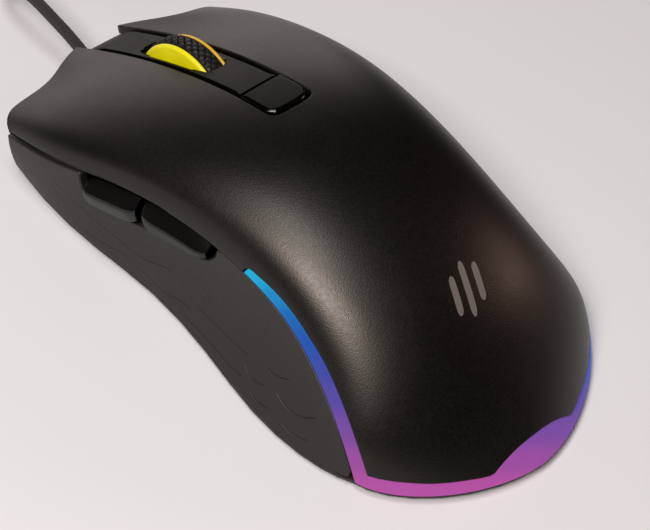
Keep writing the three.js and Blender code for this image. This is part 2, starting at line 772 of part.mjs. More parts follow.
function wheelHub() {
  return make([
    turnedOnWheelAxis(HUB_PROFILE, 32),
    rodX([-9.0, 10.2], WHEEL_AXIS, 1.7, 16),
    rodX([-14.0, -8.9], WHEEL_AXIS, 1.3, 6), // hexagonal end that drives the encoder
  ]);
}
function encoderRotor() {
  return make(
    [rodX([-13.6, -10.2], WHEEL_AXIS, 3.0, 20)],
    [rodX([-15, -8], WHEEL_AXIS, 1.65, 6)],
  );
}
function encoderHousing() {
  return make(
    [box([-14.4, -9.4], around(WHEEL_Y, 4.6), [PART_Z, 24.8])],
    [rodX([-15, -9], WHEEL_AXIS, 3.4, 24)],
  );
}
function axleBush() {
  return make(
    [
      box(around(PRESS_SWITCH_X, 2), around(WHEEL_Y, 2.8), [PRESS_Z + 1.6, 24.2]),
      box(around(PRESS_SWITCH_X, 1.5), around(WHEEL_Y, 1.6), [PRESS_Z, 17.5]),
    ],
    [rodX([5, 10], WHEEL_AXIS, 2.05, 18)],
  );
}
part("wheel_hub", wheelHub(), "lime");
part("wheel_tyre", turnedOnWheelAxis(TYRE_PROFILE, 36), "tyre");
part("encoder_rotor", encoderRotor(), "nylon");
part("encoder_housing", encoderHousing(), "chip");
part("axle_bush", axleBush(), "nylon");

// ---- boards
// [x, y] outline of the main board
const BOARD_OUTLINE = [
  [-22, -8], [-22, 49], [-17, 53.0], [17, 53.0], [22, 49],
  [22, -8], [17, -13], [17, -30], [-17, -30], [-17, -13],
];
function mainBoard() {
  const through = [4, 9];
  return make(
    [slab(BOARD_OUTLINE, BOARD_Z, BOARD_Z + BOARD_T)],
    [
      ...SIDES.map((side) => rodZ(through, onSide(side, LEG), 3.3, 16)),
      ...SIDES.map((side) => rodZ(through, onSide(side, BOARD_POST), 1.25, 12)),
      box(around(0, 1.5), [50, 56], through), // notch in the front edge
      rodZ(through, [0, LENS_Y], 2.0, 14), // sensor's view
    ],
  );
}
part("main_board", mainBoard(), "board");
part("side_board", box(around(-17, BOARD_T / 2), [-2.4, 32.6], [9.6, 25.0]), "board");

// ---- switches and their plungers
// Tall switches for the keys and the wheel press.
function tallSwitch(name, x, plungerY, rearY) {
  const body = box(around(x, 2.9), [rearY, rearY + 11.6], [PART_Z, SWITCH_TOP]);
  const pocketZ = [SWITCH_TOP - 2.4, SWITCH_TOP + 1];
  const pocket = box(around(x, 1.5), around(plungerY, 1.1), pocketZ);
  const plungerZ = [SWITCH_TOP - 1.7, PLUNGER_TOP];
  part(`${name}_switch`, make([body], [pocket]), "chip");
  part(`${name}_plunger`, box(around(x, 1.2), around(plungerY, 0.8), plungerZ), "red");
}
for (const side of SIDES) {
  tallSwitch(`${sideName(side)}_key`, side * KEY_SWITCH_X, KEY_PLUNGER_Y, 40.4);
}
tallSwitch("wheel_press", PRESS_SWITCH_X, WHEEL_Y, 29.2);

function dpiSwitch() {
  const [x, y] = DPI_AXIS;
  return make(
    [box(around(x, 3), around(y, 3), [PART_Z, 11.0])],
    [rodZ([9.2, 12], DPI_AXIS, 1.9, 16)],
  );
}
part("dpi_switch", dpiSwitch(), "chip");
part("dpi_plunger", rodZ([9.9, 12.0], DPI_AXIS, 1.6, 14), "red");

// Switch on the side board, in line with a thumb button's stem.
function thumbSwitch([y, z]) {
  return make(
    [box([-21.9, -18.1], around(y, 3), around(z, 3))],
    [rodX([-23, -20.1], [y, z], 1.7, 16)],
  );
}
for (const [name, stem] of [["forward", STEM_FORWARD], ["back", STEM_BACK]]) {
  part(`${name}_switch`, thumbSwitch(stem), "chip");
  part(`${name}_plunger`, rodX([-22.9, -20.8], stem, 1.4, 14), "red");
}

// ---- electronics on the main board, and the lens under it
const onBoard = (height) => [PART_Z, PART_Z + height];

function sensorLens() {
  return make([
    box(around(0, 9), around(LENS_Y, 6), [ON_FLOOR_Z, BOARD_REST_Z]),
    rodZ([1.2, 3.4], [0, LENS_Y], 3.2, 20),
  ]);
}
part("sensor_chip", box(around(0, 5), around(LENS_Y, 5.5), onBoard(2.5)), "chip");
part("sensor_lens", sensorLens(), "clear");
part("controller_chip", box([8, 15], [-2, 5], onBoard(1)), "chip");
part("capacitor", rodZ(onBoard(6.5), [-13, -12], 2.5, 18), "steel");
part("cable_header", box([8.0, 13.0], [42.5, 47.0], onBoard(4.2)), "nylon");
for (const [name, x] of [["left", -14], ["right", 14], ["tail", 0]]) {
  part(`led_${name}`, box(around(x, 1.5), [-29.4, -27.2], onBoard(1.2)), "led");
}
part("led_wheel", box(around(0, 1.5), [27.2, 29.8], onBoard(0.7)), "led");

// ---- glide feet
const FOOT_T = 0.6;
const footSlab = (...outline) => slab(softOutline(...outline, 0.5), 0, FOOT_T);

function feetPair(end, place, halves) {
  for (const side of SIDES) {
    const foot = footSlab(onSide(side, place), halves, 20);
    part(`${end}_${sideName(side)}_foot`, foot, "skate");
  }
}
// Ring round the sensor window.
function sensorFoot() {
  const window = slab(softOutline([0, LENS_Y], [6.4, 5.3], 24, 0.5), -1, 2);
  return make([footSlab([0, -8.6], [10.4, 10.4], 28)], [window]);
}
feetPair("front", [15.5, 44.5], [6.5, 2.8]);
part("sensor_foot", sensorFoot(), "skate");
feetPair("rear", [14, -46], [8.0, 2.8]);

// ---- screws, with the head at the lower end unless headUp
function screwPair(name, place, { z: [z0, z1], shankRadius, headUp = false }) {
  const headZ = headUp ? [z1 - 1.2, z1] : [z0, z0 + 1.2];
  for (const side of SIDES) {
    const at = onSide(side, place);
    const head = rodZ(headZ, at, 1.9, 16);
    const shank = rodZ([z0 + 0.2, z1 - 0.2], at, shankRadius, 12);
    part(`${name}_${sideName(side)}_screw`, make([head, shank]), "steel");
  }
}
screwPair("front", LEG, { z: [1.1, 12.4], shankRadius: 0.7 });
screwPair("rear", REAR_BOSS, { z: [1.1, 13.2], shankRadius: 0.85 });
screwPair("board", BOARD_POST, { z: [3.5, 8.7], shankRadius: 0.8, headUp: true });

// ---- cable: sleeve in the nose, braided cable and USB plug lying ahead of the nose
const [EXIT_X, EXIT_Z] = CABLE_EXIT;
const PLUG_Z = 4.4;
const PLUG_TAIL = [30, 103]; // [x, y] where the cable enters the plug
const [TAIL_X, TAIL_Y] = PLUG_TAIL;

// [x, y, z] from inside the nose to inside the plug
const CABLE_PATH = [
  [EXIT_X, 56.4, EXIT_Z], [0, 60.5, 8.1], [0, 64.5, 8.9], [0, 68.3, 10.1],
  [0, 72.0, 11.1], [0, 75.6, 11.8], [0, 79.2, 12.5], [0.1, 83.2, 12.8],
  [0.8, 88.6, 11.4], [2.6, 93.6, 8.0], [6.2, 98.2, 4.6], [11.6, 101.6, 2.3],
  [18.0, 103.0, 1.9], [25.0, TAIL_Y, 3.2],
  [TAIL_X, TAIL_Y, PLUG_Z - 0.1], [TAIL_X + 3.4, TAIL_Y, PLUG_Z],
];
// [x, y, z] from the cable's end to the header on the board
const LOOM_PATH = [
  [EXIT_X, 55.9, EXIT_Z], [EXIT_X, 54.2, EXIT_Z], [0, 52.8, 9.0], [0.2, 51.2, 11.4],
  [1.1, 48.9, 13.2], [4.0, 47.7, 13.9], [8.0, 47.0, 14.2], [10.2, 45.8, 14.0],
  [10.5, 44.9, 13.2], [10.5, 44.8, 12.2],
];
function cableSleeve() {
  return make(
    [rodY([54.4, 59.9], CABLE_EXIT, 3.1, 22, 2.6)],
    [rodY([54, 61], CABLE_EXIT, 1.85, 20)],
  );
}
part("usb_cable", sweep(CABLE_PATH, 1.4, 46, 8), "braid");
part("cable_sleeve", cableSleeve(), "base");
part("cable_loom", sweep(LOOM_PATH, 0.8, 16, 6), "braid");

// The plug is drawn along Y with its open end towards -Y, then turned to point to +X.
const PLUG_TAIL_Y = 86.5; // its cable end as drawn
const PLUG_AXIS = [0, PLUG_Z];
function placePlug(g) {
  return g.translate(0, -PLUG_TAIL_Y, 0).rotateZ(Math.PI / 2).translate(TAIL_X, TAIL_Y, 0);
}
function plugBody() {
  return make(
    [
      box(around(0, 7.4), [57.5, 80.0], around(PLUG_Z, 4.1)),
      rodY([79.5, PLUG_TAIL_Y], PLUG_AXIS, 2.9, 18, 2.3),
    ],
    [
      rodY([82.6, 88], PLUG_AXIS, 1.95, 16),
      box(around(0, 6.3), [57, 62], around(PLUG_Z, 2.6)),
    ],
  );
}
// Metal shell with two square holes in its top face.
function plugShell() {
  return make(
    [box(around(0, 6.0), [45.4, 61.7], around(PLUG_Z, 2.25))],
    [
      box(around(0, 5.7), [44, 58.5], around(PLUG_Z, 1.95)),
      ...SIDES.map((side) =>
        box(around(side * 2.65, 1.05), [48.5, 50.7], [PLUG_Z + 1, PLUG_Z + 3]),
      ),
    ],
  );
}
function plugTongue() {
  return box(around(0, 5.3), [46.4, 58.1], [PLUG_Z - 1.6, PLUG_Z - 0.1]);
}
part("plug_body", placePlug(plugBody()), "satin");
part("plug_shell", placePlug(plugShell()), "steel");
part("plug_tongue", placePlug(plugTongue()), "nylon");

export default group;
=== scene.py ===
import math

import bpy
import numpy as np
from mathutils import Matrix, Vector


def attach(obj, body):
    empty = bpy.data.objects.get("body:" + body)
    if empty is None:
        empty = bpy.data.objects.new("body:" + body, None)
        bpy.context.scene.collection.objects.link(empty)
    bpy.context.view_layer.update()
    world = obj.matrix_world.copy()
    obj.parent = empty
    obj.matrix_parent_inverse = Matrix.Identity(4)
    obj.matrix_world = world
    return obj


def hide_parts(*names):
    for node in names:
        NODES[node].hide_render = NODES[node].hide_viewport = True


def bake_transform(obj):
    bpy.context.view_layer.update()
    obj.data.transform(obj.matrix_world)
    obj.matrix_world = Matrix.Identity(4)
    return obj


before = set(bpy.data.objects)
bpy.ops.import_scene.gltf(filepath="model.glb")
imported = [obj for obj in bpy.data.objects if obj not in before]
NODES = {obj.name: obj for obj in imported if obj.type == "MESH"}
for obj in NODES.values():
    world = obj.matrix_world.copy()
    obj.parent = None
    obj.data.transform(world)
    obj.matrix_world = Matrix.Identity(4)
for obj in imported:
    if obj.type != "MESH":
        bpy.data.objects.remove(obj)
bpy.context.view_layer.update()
MM = 0.001

# ------------------------------------------------------------------ driving dimensions
# The case's master surface at nine even stations, nose to tail
CROWN_Y = [63.2, 46.4, 29.4, 12.3, -5.1, -23.4, -40.4, -54.0, -64.0]
CROWN_Z = [16.6, 25.8, 32.8, 37.2, 38.2, 34.2, 26.0, 14.1, 2.6]
RIM_X = [29.8, 31.5, 30.9, 29.4, 27.9, 27.6, 29.0, 30.9, 31.0]
RIM_Y = [55.4, 41.4, 26.9, 12.3, -3.3, -18.2, -30.3, -39.0, -44.3]
RIM_Z = [12.6, 17.3, 22.2, 25.2, 24.8, 21.7, 15.8, 9.7, 2.0]
FOOT_X = [26.8, 29.0, 29.1, 28.6, 30.5, 33.5, 34.2, 32.9, 30.7]
# Superellipse exponents of the cross-section at three even stations
ROUND_X = [2.23, 2.3, 1.73]
ROUND_Z = [2.24, 2.35, 1.55]

# Bulge of the right flank near the tail: height at half width BULGE_X, and place and spread in y
BULGE, BULGE_X, BULGE_Y, BULGE_SPREAD = 2.7, 30, -46, 15

WALL = 1.8
FLEX_Y = 10.7  # where the keys meet the palm cover
CHANNEL_EDGE = 5.52  # half width between the keys
WHEEL_Y, WHEEL_Z = 35.0, 20.8
TYRE_R = 12.6
HUB_R = 12.05

# Places on the master surface, as fractions: u runs nose to tail, v left to right
FLEX_GAP_U = 0.00002
GUIDE_U = 0.5330
ARM_U = 0.537
TAIL_U = 0.962
COVER_TAIL_V = 0.855
GUIDE_TAIL_V = 0.848


# ------------------------------------------------------------------ curves and vectors
def spline(values):
    """Natural cubic through evenly spaced values, over 0 to 1."""
    values = np.asarray(values, float)
    count = len(values)
    bend, upper_band, rest = np.zeros(count), np.zeros(count), np.zeros(count)
    for i in range(1, count - 1):
        second = 6 * (values[i + 1] - 2 * values[i] + values[i - 1])
        pivot = 4 - upper_band[i - 1]
        upper_band[i] = 1 / pivot
        rest[i] = (second - rest[i - 1]) / pivot
    for i in range(count - 2, 0, -1):
        bend[i] = rest[i] - upper_band[i] * bend[i + 1]

    def curve(u):
        at = np.asarray(u, float) * (count - 1)
        k = np.clip(np.floor(at).astype(int), 0, count - 2)
        b = at - k
        a = 1 - b
        straight = a * values[k] + b * values[k + 1]
        return straight + ((a**3 - a) * bend[k] + (b**3 - b) * bend[k + 1]) / 6

    return curve


def smooth_table(pairs):
    """Shape-keeping cubic through (key, value) pairs."""
    keys, values = np.array(pairs, float).T
    step = np.diff(keys)
    grade = np.diff(values) / step
    slope = np.zeros(len(keys))
    slope[0], slope[-1] = grade[0], grade[-1]
    for i in range(1, len(keys) - 1):
        if grade[i - 1] * grade[i] > 0:
            w1, w2 = 2 * step[i] + step[i - 1], step[i] + 2 * step[i - 1]
            slope[i] = (w1 + w2) / (w1 / grade[i - 1] + w2 / grade[i])

    def curve(t):
        t = np.clip(np.asarray(t, float), keys[0], keys[-1])
        k = np.clip(np.searchsorted(keys, t, side="right") - 1, 0, len(keys) - 2)
        s = (t - keys[k]) / step[k]
        return (
            (1 + 2 * s) * (1 - s) ** 2 * values[k]
            + s * (1 - s) ** 2 * step[k] * slope[k]
            + s * s * (3 - 2 * s) * values[k + 1]
            + s * s * (s - 1) * step[k] * slope[k + 1]
        )

    return curve


def lerp(a, b, t):
    return a + (b - a) * t


def unit(a):
    return a / np.maximum(np.linalg.norm(a, axis=-1, keepdims=True), 1e-12)


def solve(falling, target):
    """u where the falling function meets target, by bisection; arrays welcome."""
    target = np.asarray(target, float)
    low, high = np.zeros(target.shape), np.ones(target.shape)
    for _ in range(46):
        middle = (low + high) / 2
        above = falling(middle) > target
        low, high = np.where(above, middle, low), np.where(above, high, middle)
    return (low + high) / 2


def arc_lengths(path):
    return np.concatenate([[0], np.cumsum(np.linalg.norm(np.diff(path, axis=0), axis=1))])


def resample(path, fractions):
    """Points at fractions of a polyline's length."""
    arc = arc_lengths(path)
    return np.stack([np.interp(fractions * arc[-1], arc, column) for column in path.T], -1)


# ------------------------------------------------------------------ the master surface
crown_y, crown_z, rim_x, rim_y, rim_z, foot_x, round_x, round_z = map(
    spline, (CROWN_Y, CROWN_Z, RIM_X, RIM_Y, RIM_Z, FOOT_X, ROUND_X, ROUND_Z)
)


def bulge(y):
    return BULGE * np.exp(-(((y - BULGE_Y) / BULGE_SPREAD) ** 2))


def flank(x, y):
    """The right flank is a little fuller than the left one near the tail."""
    return np.where(x > 0, x + bulge(y) * (x / BULGE_X) ** 2, x)


def upper(u, v):
    """Point of the case top at u (nose to tail) and v (-1 left rim, 1 right rim)."""
    u, v = np.broadcast_arrays(np.asarray(u, float), np.asarray(v, float))
    angle = np.minimum(1, np.abs(v)) * np.pi / 2
    across = np.sin(angle) ** (2 / round_x(u))
    fall = 1 - np.maximum(0, np.cos(angle)) ** (2 / round_z(u))
    x = np.sign(v) * rim_x(u) * across
    z = crown_z(u) + (rim_z(u) - crown_z(u)) * fall
    y = crown_y(u) + (rim_y(u) - crown_y(u)) * fall
    # a finger dip at the nose of each key
    dip_u, dip_depth, dip_x, dip_half = 0.14, 2.2, 19, 16
    w = np.clip((np.abs(x) - dip_x) / dip_half, -1, 1)
    dip = dip_depth * (1 - u / dip_u) ** 2 * np.cos(w * np.pi / 2) ** 2
    return np.stack([flank(x, y), y, z - np.where(u < dip_u, dip, 0)], -1)


def normal(u, v):
    u, v = np.broadcast_arrays(np.asarray(u, float), np.asarray(v, float))
    angle = np.clip(np.abs(v), 1e-5, 1 - 1e-6) * np.pi / 2
    side = np.where(v < 0, -1.0, 1.0)
    n, m = round_x(u), round_z(u)
    dx = rim_x(u) * (2 / n) * np.cos(angle) ** (2 - 2 / m)
    drop = -(2 / m) * np.sin(angle) ** (2 - 2 / n)
    across = np.stack(
        [dx, -side * (rim_y(u) - crown_y(u)) * drop, -side * (rim_z(u) - crown_z(u)) * drop], -1
    )
    point = upper(u, v)
    x, y = np.maximum(point[..., 0], 0), point[..., 1]
    full = bulge(y)
    by_x = 1 + 2 * full * x / BULGE_X**2
    by_y = (x / BULGE_X) ** 2 * full * 2 * (y - BULGE_Y) / BULGE_SPREAD**2
    across[..., 0] = across[..., 0] * by_x - by_y * across[..., 1]
    du = 0.002
    along = upper(np.minimum(1, u + du), v) - upper(np.maximum(0, u - du), v)
    return unit(np.cross(along, across))


def v_at_x(u, x):
    part = np.clip(np.abs(x) / rim_x(u), 0, 1)
    return np.sign(x) * np.arcsin(part ** (round_x(u) / 2)) / (np.pi / 2)


def u_crown(y):
    return solve(crown_y, y)


def u_rim(y):
    return solve(rim_y, y)


def u_over(x, y):
    """u of the surface point over plan position (x, y)."""
    return solve(lambda u: upper(u, v_at_x(u, x))[..., 1], y)


def over(x, y):
    """Surface point and normal over plan positions (x, y)."""
    x, y = np.broadcast_arrays(np.asarray(x, float), np.asarray(y, float))
    u = u_over(x, y)
    v = v_at_x(u, x)
    return upper(u, v), normal(u, v)


def side_at(y, z):
    """Half width of the side wall below the rim."""
    u = u_rim(y)
    w = np.clip((rim_z(u) - np.minimum(z, rim_z(u))) / (rim_z(u) - 1.5), 0, 1)
    hollow = 1.6 * np.sin(np.pi * np.clip(u / 0.8, 0, 1)) ** 2
    return lerp(rim_x(u), foot_x(u), w**1.6) - hollow * np.sin(np.pi * w)


def rim_height(y):
    return rim_z(u_rim(y))


def key_gap(y):
    """Gap under the rim; it widens towards the nose, where the keys travel."""
    return np.where(y > FLEX_Y, 0.42 + 0.0155 * (y - FLEX_Y), 0.42)


U_FLEX = float(u_crown(FLEX_Y))
# (u, |v|) of the cover's edge along the light guide's arms
arm = smooth_table([
    (0.537, 0.935), (0.563, 0.92), (0.597, 0.9), (0.632, 0.89), (0.673, 0.885),
    (0.722, 0.87), (0.785, 0.865), (0.84, 0.86), (0.9, 0.855), (0.962, 0.848),
])
# (|v|, u) of the cover's edge across the tail
tail_line = smooth_table(
    [(0.27 * q, 0.981 - 0.031 * (1 - q**2.4) ** 1.05) for q in np.linspace(0, 1, 19)]
    + [(0.4, 0.977), (0.53, 0.973), (0.64, 0.968), (0.74, 0.965), (0.855, 0.962)]
)

# ------------------------------------------------------------------ meshes
COLL = bpy.context.scene.collection


def link_object(name, data):
    ob = bpy.data.objects.new(name, data)
    COLL.objects.link(ob)
    return ob


def make_object(name, verts, faces, mats, normals=None, face_mats=None, sharp=None, uv=None):
    """Mesh object turned outside out; shaded by normals, or by a sharp angle in degrees."""
    verts = np.asarray(verts, float)
    faces = [tuple(int(k) for k in f) for f in faces]
    volume = 0.0
    for f in faces:
        for i in range(1, len(f) - 1):
            volume += float(np.dot(verts[f[0]], np.cross(verts[f[i]], verts[f[i + 1]])))
    if volume < 0:
        faces = [f[::-1] for f in faces]
    me = bpy.data.meshes.new(name)
    me.from_pydata([tuple(p) for p in verts * MM], [], faces)
    for mat in mats:
        me.materials.append(mat)
    me.polygons.foreach_set("use_smooth", [True] * len(me.polygons))
    if face_mats is not None:
        me.polygons.foreach_set("material_index", [int(k) for k in face_mats])
    if uv is not None:
        layer = me.uv_layers.new(name="along")
        for lp in me.loops:
            layer.data[lp.index].uv = uv[lp.vertex_index]
    me.update()
    if normals is not None:
        me.normals_split_custom_set_from_vertices([tuple(n) for n in unit(normals)])
    else:
        me.set_sharp_from_angle(angle=math.radians(sharp))
    return link_object(name, me)


def tell(ob, replaces=None, ride=None):
    if replaces:
        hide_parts(replaces)
    if ride:
        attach(ob, ride)


def grid_faces(rows, cols, base=0, flip=False):
    i, j = np.meshgrid(np.arange(rows - 1), np.arange(cols - 1), indexing="ij")
    a = (base + i * cols + j).ravel()
    quads = np.stack([a, a + cols, a + cols + 1, a + 1], -1)
    return (quads[:, ::-1] if flip else quads).tolist()


def band_faces(one, two):
    """Quads between two closed loops of vertex numbers."""
    return list(zip(one, np.roll(one, -1), np.roll(two, -1), two))


def torus_faces(rings, count):
    """Quads of a closed stack of closed rings."""
    loop = np.arange(count)
    faces = []
    for k in range(rings):
        faces += band_faces(k * count + loop, (k + 1) % rings * count + loop)
    return faces


def border(rows, cols):
    """Row and column numbers round a grid's border, first row first."""
    down, back = np.arange(1, rows), np.arange(cols - 2, -1, -1)
    i = np.concatenate([np.zeros(cols, int), down, np.full(cols - 1, rows - 1), down[-2::-1]])
    j = np.concatenate([np.arange(cols), np.full(rows - 1, cols - 1), back, 0 * down[1:]])
    return i, j


def grid_normals(points, like):
    """Numeric normals of a point grid, turned to the side of the rough direction like."""
    n = unit(np.cross(np.gradient(points, axis=0), np.gradient(points, axis=1)))
    sign = np.sign((n * like).sum(-1, keepdims=True))
    sign[sign == 0] = 1
    return n * sign


def plate(name, points, normals, mats, radius, steps=4, inner=None, drop=1.0,
          flex_sides=(), flex_columns=(), edge_sides=()):
    """A closed plate from a grid of surface points and their normals.

    Sides: 0 first row, 1 last column, 2 last row, 3 first column. The border is rounded inward
    by radius (one, or one per side) and down by radius times drop. Flex sides, and flex column
    ranges of side 0, drop straight. The rounding of edge_sides takes the second material.
    """
    rows, cols = points.shape[:2]
    bi, bj = border(rows, cols)
    count = len(bi)
    side_of = np.repeat([0, 1, 2, 3], [cols - 1, rows - 1, cols - 1, rows - 1])
    after = np.zeros(count, bool)
    for side in flex_sides:
        after |= side_of == side
    for first, last in flex_columns:
        after[first:last] = True
    before = np.roll(after, 1)
    both = before & after

    # edge direction, then the inward tangent at each border point
    rim, rim_n = points[bi, bj], normals[bi, bj]
    ahead, behind = np.roll(rim, -1, 0), np.roll(rim, 1, 0)
    along = ahead - behind
    along = np.where((before & ~after)[:, None], ahead - rim, along)
    along = np.where((after & ~before)[:, None], rim - behind, along)
    inward = unit(np.cross(rim_n, unit(along)))
    inside = points[np.clip(bi, 1, rows - 2), np.clip(bj, 1, cols - 2)] - rim
    inward *= np.where((inward * inside).sum(-1) < 0, -1.0, 1.0)[:, None]

    seg_r = np.broadcast_to(np.asarray(radius, float), 4)[side_of]
    r = np.minimum(seg_r, np.roll(seg_r, 1))
    for _ in range(4):
        r = np.where(before | after, r, (np.roll(r, 1) + 2 * r + np.roll(r, -1)) / 4)
    r_in = np.where(both, 0.0, r)[:, None]
    r_down = (r * drop)[:, None]

    outer = points.copy()
    outer[bi, bj] = rim + inward * r_in
    verts, norms = [outer.reshape(-1, 3)], [normals.reshape(-1, 3)]
    faces = grid_faces(rows, cols)
    face_mats = [0] * len(faces)
    edge_mats = [int(side in edge_sides) for side in side_of]
    last = bi * cols + bj
    base = rows * cols
    for k in range(1, steps + 1):
        phi = math.pi / 2 * k / steps
        sin, cos = math.sin(phi), math.cos(phi)
        verts.append(rim + inward * r_in * (1 - sin) - rim_n * r_down * (1 - cos))
        norms.append(np.where(both[:, None], rim_n, rim_n * cos - inward * sin))
        ring = base + np.arange(count)
        faces += band_faces(last, ring)
        face_mats += edge_mats
        last = ring
        base += count

    if inner is None:
        inner = points - normals * WALL
    inner_n = -normals
    inner_n[bi, bj] = -inward
    verts.append(inner.reshape(-1, 3))
    norms.append(inner_n.reshape(-1, 3))
    faces += band_faces(last, base + bi * cols + bj)
    faces += grid_faces(rows, cols, base, flip=True)
    face_mats += [0] * (len(faces) - len(face_mats))
    return make_object(name, np.concatenate(verts), faces, mats, np.concatenate(norms), face_mats)


def about_wheel(x, radius, angle):
    """Points turned about the wheel's axis."""
    y, z = WHEEL_Y + np.cos(angle) * radius, WHEEL_Z + np.sin(angle) * radius
    return np.stack([np.broadcast_to(x, y.shape), y, z], -1).reshape(-1, 3)


def turns(count):
    return np.arange(count) / count * 2 * np.pi


def lathe(name, profile, count, mats, sharp, mat_of=None):
    """Closed profile of (radius, x) turned about the wheel's axis."""
    profile = np.array(profile, float)
    size = len(profile)
    verts = about_wheel(profile[None, :, 1], profile[None, :, 0], turns(count)[:, None])
    face_mats = None
    if mat_of:
        face_mats = [mat_of(profile[j], profile[(j + 1) % size]) for j in range(size)] * count
    return make_object(
        name, verts, torus_faces(count, size), mats, sharp=sharp, face_mats=face_mats
    )


def round_profile(corners, radius, steps):
    """Rounds the corners of a closed polyline."""
    corners = [np.array(p, float) for p in corners]
    out = []
    for i, p in enumerate(corners):
        to_last, to_next = corners[i - 1] - p, corners[(i + 1) % len(corners)] - p
        len_last, len_next = np.linalg.norm(to_last), np.linalg.norm(to_next)
        cut = min(radius, len_last * 0.45, len_next * 0.45)
        start, end = p + to_last / len_last * cut, p + to_next / len_next * cut
        for k in range(steps + 1):
            t = k / steps
            out.append((1 - t) ** 2 * start + 2 * t * (1 - t) * p + t * t * end)
    return out


# ------------------------------------------------------------------ the view
def view_basis(forward, roll):
    """Forward, right and up of a view turned by roll degrees about its own axis."""
    forward = unit(np.array(forward))
    right = unit(np.cross(forward, [0, 0, 1.0]))
    up = np.cross(right, forward)
    c, s = math.cos(math.radians(roll)), math.sin(math.radians(roll))
    return forward, right * c + up * s, -right * s + up * c


VIEW_PLACE = np.array([-0.243109, -0.179152, 0.315121])  # metres
FORWARD, RIGHT, UP = view_basis(forward=(0.56562546, 0.4043386, -0.7187337), roll=12.3666)


# ------------------------------------------------------------------ materials
def new_material(name):
    mat = bpy.data.materials.new(name)
    mat.use_nodes = True
    return mat, mat.node_tree.nodes["Principled BSDF"]


class Net:
    """Small helper round a node tree, working in object coordinates."""

    def __init__(self, name):
        self.mat, self.bsdf = new_material(name)
        self.tree = self.mat.node_tree
        self.coord = self.add("ShaderNodeTexCoord").outputs["Object"]

    def add(self, kind, **props):
        node = self.tree.nodes.new(kind)
        for key, value in props.items():
            setattr(node, key, value)
        return node

    def put(self, socket, value):
        """Links an output, or sets a number or a colour."""
        if isinstance(value, (int, float)):
            socket.default_value = value
        elif isinstance(value, tuple):
            socket.default_value = (*value, 1)
        else:
            self.tree.links.new(value, socket)

    def set(self, **values):
        """Puts values on the main shader; underscores stand for spaces."""
        for key, value in values.items():
            self.put(self.bsdf.inputs[key.replace("_", " ")], value)

    def vector(self, operation, source, value):
        node = self.add("ShaderNodeVectorMath", operation=operation)
        self.put(node.inputs[0], source)
        node.inputs[1].default_value = value
        return node.outputs

    def noise(self, scale, detail, rough):
        node = self.add("ShaderNodeTexNoise")
        self.put(node.inputs["Scale"], scale)
        self.put(node.inputs["Detail"], detail)
        self.put(node.inputs["Roughness"], rough)
        self.put(node.inputs["Vector"], self.coord)
        return node.outputs["Fac"]

    def cells(self, size, smooth=None, vec=None):
        """Distance in cells of a size in millimetres, softened by smooth."""
        node = self.add("ShaderNodeTexVoronoi", feature="F1" if smooth is None else "SMOOTH_F1")
        self.put(node.inputs["Scale"], 1 / (size * MM))
        if smooth is not None:
            self.put(node.inputs["Smoothness"], smooth)
        self.put(node.inputs["Vector"], vec or self.coord)
        return node.outputs["Distance"]

    def remap(self, source, from_min, from_max, to_min, to_max, kind="LINEAR"):
        node = self.add("ShaderNodeMapRange", interpolation_type=kind)
        self.put(node.inputs["From Min"], from_min)
        self.put(node.inputs["From Max"], from_max)
        self.put(node.inputs["To Min"], to_min)
        self.put(node.inputs["To Max"], to_max)
        self.put(node.inputs["Value"], source)
        return node.outputs["Result"]

    def spread(self, noise, low=0, high=1):
        """The middle of a noise's range stretched to low..high."""
        return self.remap(noise, 0.3, 0.7, low, high)

    def math(self, op, *values):
        node = self.add("ShaderNodeMath", operation=op)
        if len(values) == 1:
            values += (0.0,)
        for socket, value in zip(node.inputs, values):
            self.put(socket, value)
        return node.outputs[0]

    def mix(self, factor, a, b):
        node = self.add("ShaderNodeMix", data_type="RGBA")
        for k, value in ((0, factor), (6, a), (7, b)):
            self.put(node.inputs[k], value)
        return node.outputs[2]

    def bump(self, height, depth, under=None):
        """Bump of a depth in millimetres, over an earlier one."""
        node = self.add("ShaderNodeBump")
        self.put(node.inputs["Distance"], depth * MM)
        self.put(node.inputs["Strength"], 1.0)
        self.put(node.inputs["Height"], height)
        if under is not None:
            self.put(node.inputs["Normal"], under)
        return node.outputs["Normal"]

    def pebble(self, noise, weight, cell, depth, under=None):
        """Pebble grain: raised cells roughened by a weighted noise."""
        height = self.math("MULTIPLY_ADD", noise, weight, self.math("MULTIPLY", cell, -1.0))
        return self.bump(height, depth, under)


def plastic(name, base, rough, grain, cell, vary=0.12, spec=0.5, metal=0.0, wear=0.04,
            stretch=None):
    """Moulded plastic: uneven tone, smudged roughness, pebble grain.

    grain is the pebbles' depth and cell their size in millimetres, vary the spread of the tone,
    wear the spread of the roughness, stretch a scaling of the pebbles' coordinates."""
    k = Net(name)
    big = k.noise(scale=38, detail=4, rough=0.6)
    fine = k.noise(scale=900, detail=3, rough=0.6)
    dark = tuple(c * (1 - vary) for c in base)
    light = tuple(min(1, c * (1 + vary)) for c in base)
    k.set(Base_Color=k.mix(k.spread(big), dark, light))
    smudge = k.spread(k.noise(scale=65, detail=5, rough=0.65), rough - wear, rough + wear)
    k.set(Roughness=k.math("ADD", smudge, k.spread(fine, -wear / 2, wear / 2)))
    k.set(Specular_IOR_Level=spec, Metallic=metal)
    vec = k.vector("MULTIPLY", k.coord, stretch)[0] if stretch else None
    cells = k.cells(cell, smooth=0.6, vec=vec)
    k.set(Normal=k.pebble(fine, weight=0.5, cell=cells, depth=grain))
    return k.mat


